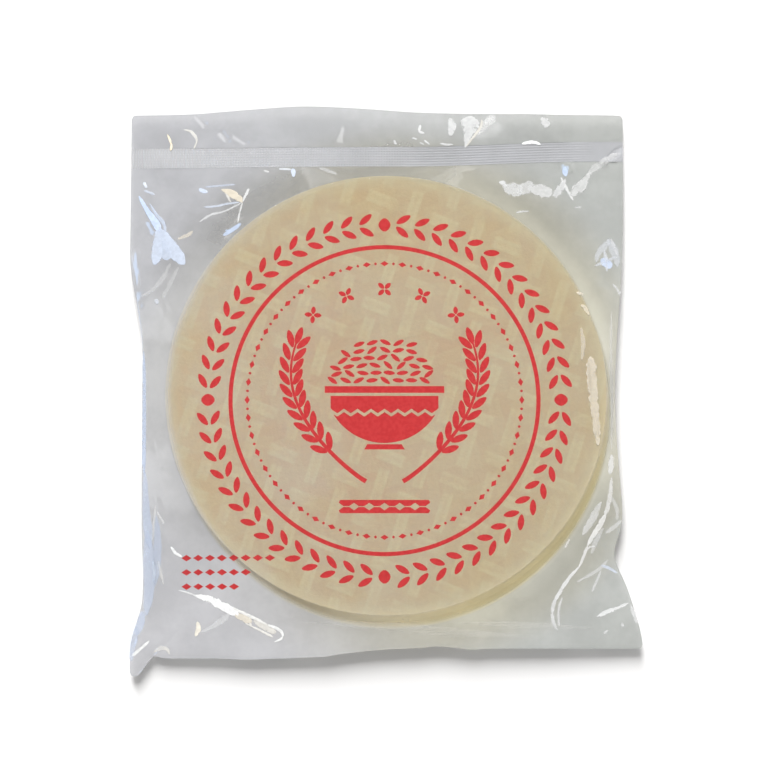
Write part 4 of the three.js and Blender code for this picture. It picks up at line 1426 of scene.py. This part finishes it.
flap = header_flap()
flap.data.materials.append(FILM)
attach(flap, "root")
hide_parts("sealed_bag")


def flap_top(x, y):
    """The height of the flap's upper wall at its cut edge, where it is highest."""
    return flap_height(x, y) + WALL_FROM_MIDDLE + WALLS_PART


crease_beads("flap_creases", FLAP_CREASES, flap_top)


# ---- The table, the light and the camera ----------------------------------------------------
# A matt white table, a large soft key lamp beyond the seal, a low fill on the near side, and lamps
# that are only mirrored in the film. The camera looks down, 5 degrees off straight.

TABLE_HALF, TABLE_DROP = 3.0, 0.0003
TABLE_WHITE = (0.66, 0.66, 0.66, 1)
ROOM_COLOUR = (0.985, 0.99, 1.0, 1)
FILM_BACK_WIDTH = 36.0
PIXELS_PER_MM = 2.43
PICTURE_PIXELS = 768


def table():
    """The table's top, just under the pack."""
    corners = [(TABLE_HALF * x, TABLE_HALF * y, -TABLE_DROP)
               for x, y in ((-1, -1), (1, -1), (1, 1), (-1, 1))]
    mesh = bpy.data.meshes.new("table")
    mesh.from_pydata(corners, [], [(0, 1, 2, 3)])
    floor = bpy.data.objects.new("table", mesh)
    scene.collection.objects.link(floor)
    s = Shader("table_white")
    mesh.materials.append(s.finish(s.node("BsdfDiffuse", TABLE_WHITE)))
    return floor


table()


def soft_box(name, azimuth, elevation, distance, size, power, colour, lights=True, mirrored=True):
    """A rectangular lamp that faces the pack. Azimuth 0 is beyond the seal, 90 to its right. Some
    lamps only light the pack and some are only mirrored in it."""
    data = bpy.data.lights.new(name, "AREA")
    data.shape = "RECTANGLE"
    data.size, data.size_y = size
    data.energy = power
    data.color = colour
    lamp = bpy.data.objects.new(name, data)
    lamp.visible_diffuse = lights
    lamp.visible_glossy = mirrored
    scene.collection.objects.link(lamp)
    away = toward(azimuth, elevation)
    lamp.location = away * distance
    lamp.rotation_euler = away.to_track_quat("Z", "Y").to_euler()


soft_box("key_lamp", -9, 46, 2.8, (0.9, 2.4), 180, (1.0, 0.99, 0.985), mirrored=False)
soft_box("near_fill", 148, 3, 2.2, (2.5, 0.19), 132.0, (1.0, 0.98, 0.95), mirrored=False)
soft_box("window", *LAMP_PLACES["window"], (0.3, 0.45), 1.8, (0.36, 0.6, 1.0), lights=False)
soft_box("white", *LAMP_PLACES["white"], (0.18, 0.18), 0.24, (1.0, 1.0, 1.0), lights=False)
soft_box("left_sheen", -92, 22, 1.3, (1.0, 0.45), 1.6, (0.95, 0.97, 1.0), lights=False)

# The room is bright low down and dim overhead, and darker beyond the seal.
world = bpy.data.worlds.new("studio")
scene.world = world
world.use_nodes = True
room = world.node_tree
heading = tree_node(room, "ShaderNodeTexCoord", {}, "Generated")
east, north, upward = tree_node(room, "ShaderNodeSeparateXYZ", {0: heading}).node.outputs
overhead = tree_node(room, "ShaderNodeMapRange", {
    "Value": upward, "From Min": 0.0, "From Max": 0.45, "To Min": 0.9, "To Max": 0.28}, "Result")
beyond = tree_node(room, "ShaderNodeMapRange", {
    "Value": north, "From Min": 0.1, "From Max": 0.7, "To Min": 1.0, "To Max": 0.3}, "Result")
strength = tree_node(room, "ShaderNodeMath", {0: overhead, 1: beyond}, operation="MULTIPLY")
background = room.nodes["Background"].inputs
background["Color"].default_value = ROOM_COLOUR
room.links.new(strength, background["Strength"])

camera_data = bpy.data.cameras.new("camera")
camera_data.sensor_width = FILM_BACK_WIDTH
camera_data.lens = FILM_BACK_WIDTH * PIXELS_PER_MM * CAMERA_DISTANCE / MM / PICTURE_PIXELS
camera = bpy.data.objects.new("camera", camera_data)
scene.collection.objects.link(camera)
camera.location = CAMERA_AT
camera.rotation_euler = (math.pi / 2 - CAMERA_ELEVATION, 0.0, 0.0)
scene.camera = camera
scene.view_settings.view_transform = "Standard"
scene.view_settings.look = "None"
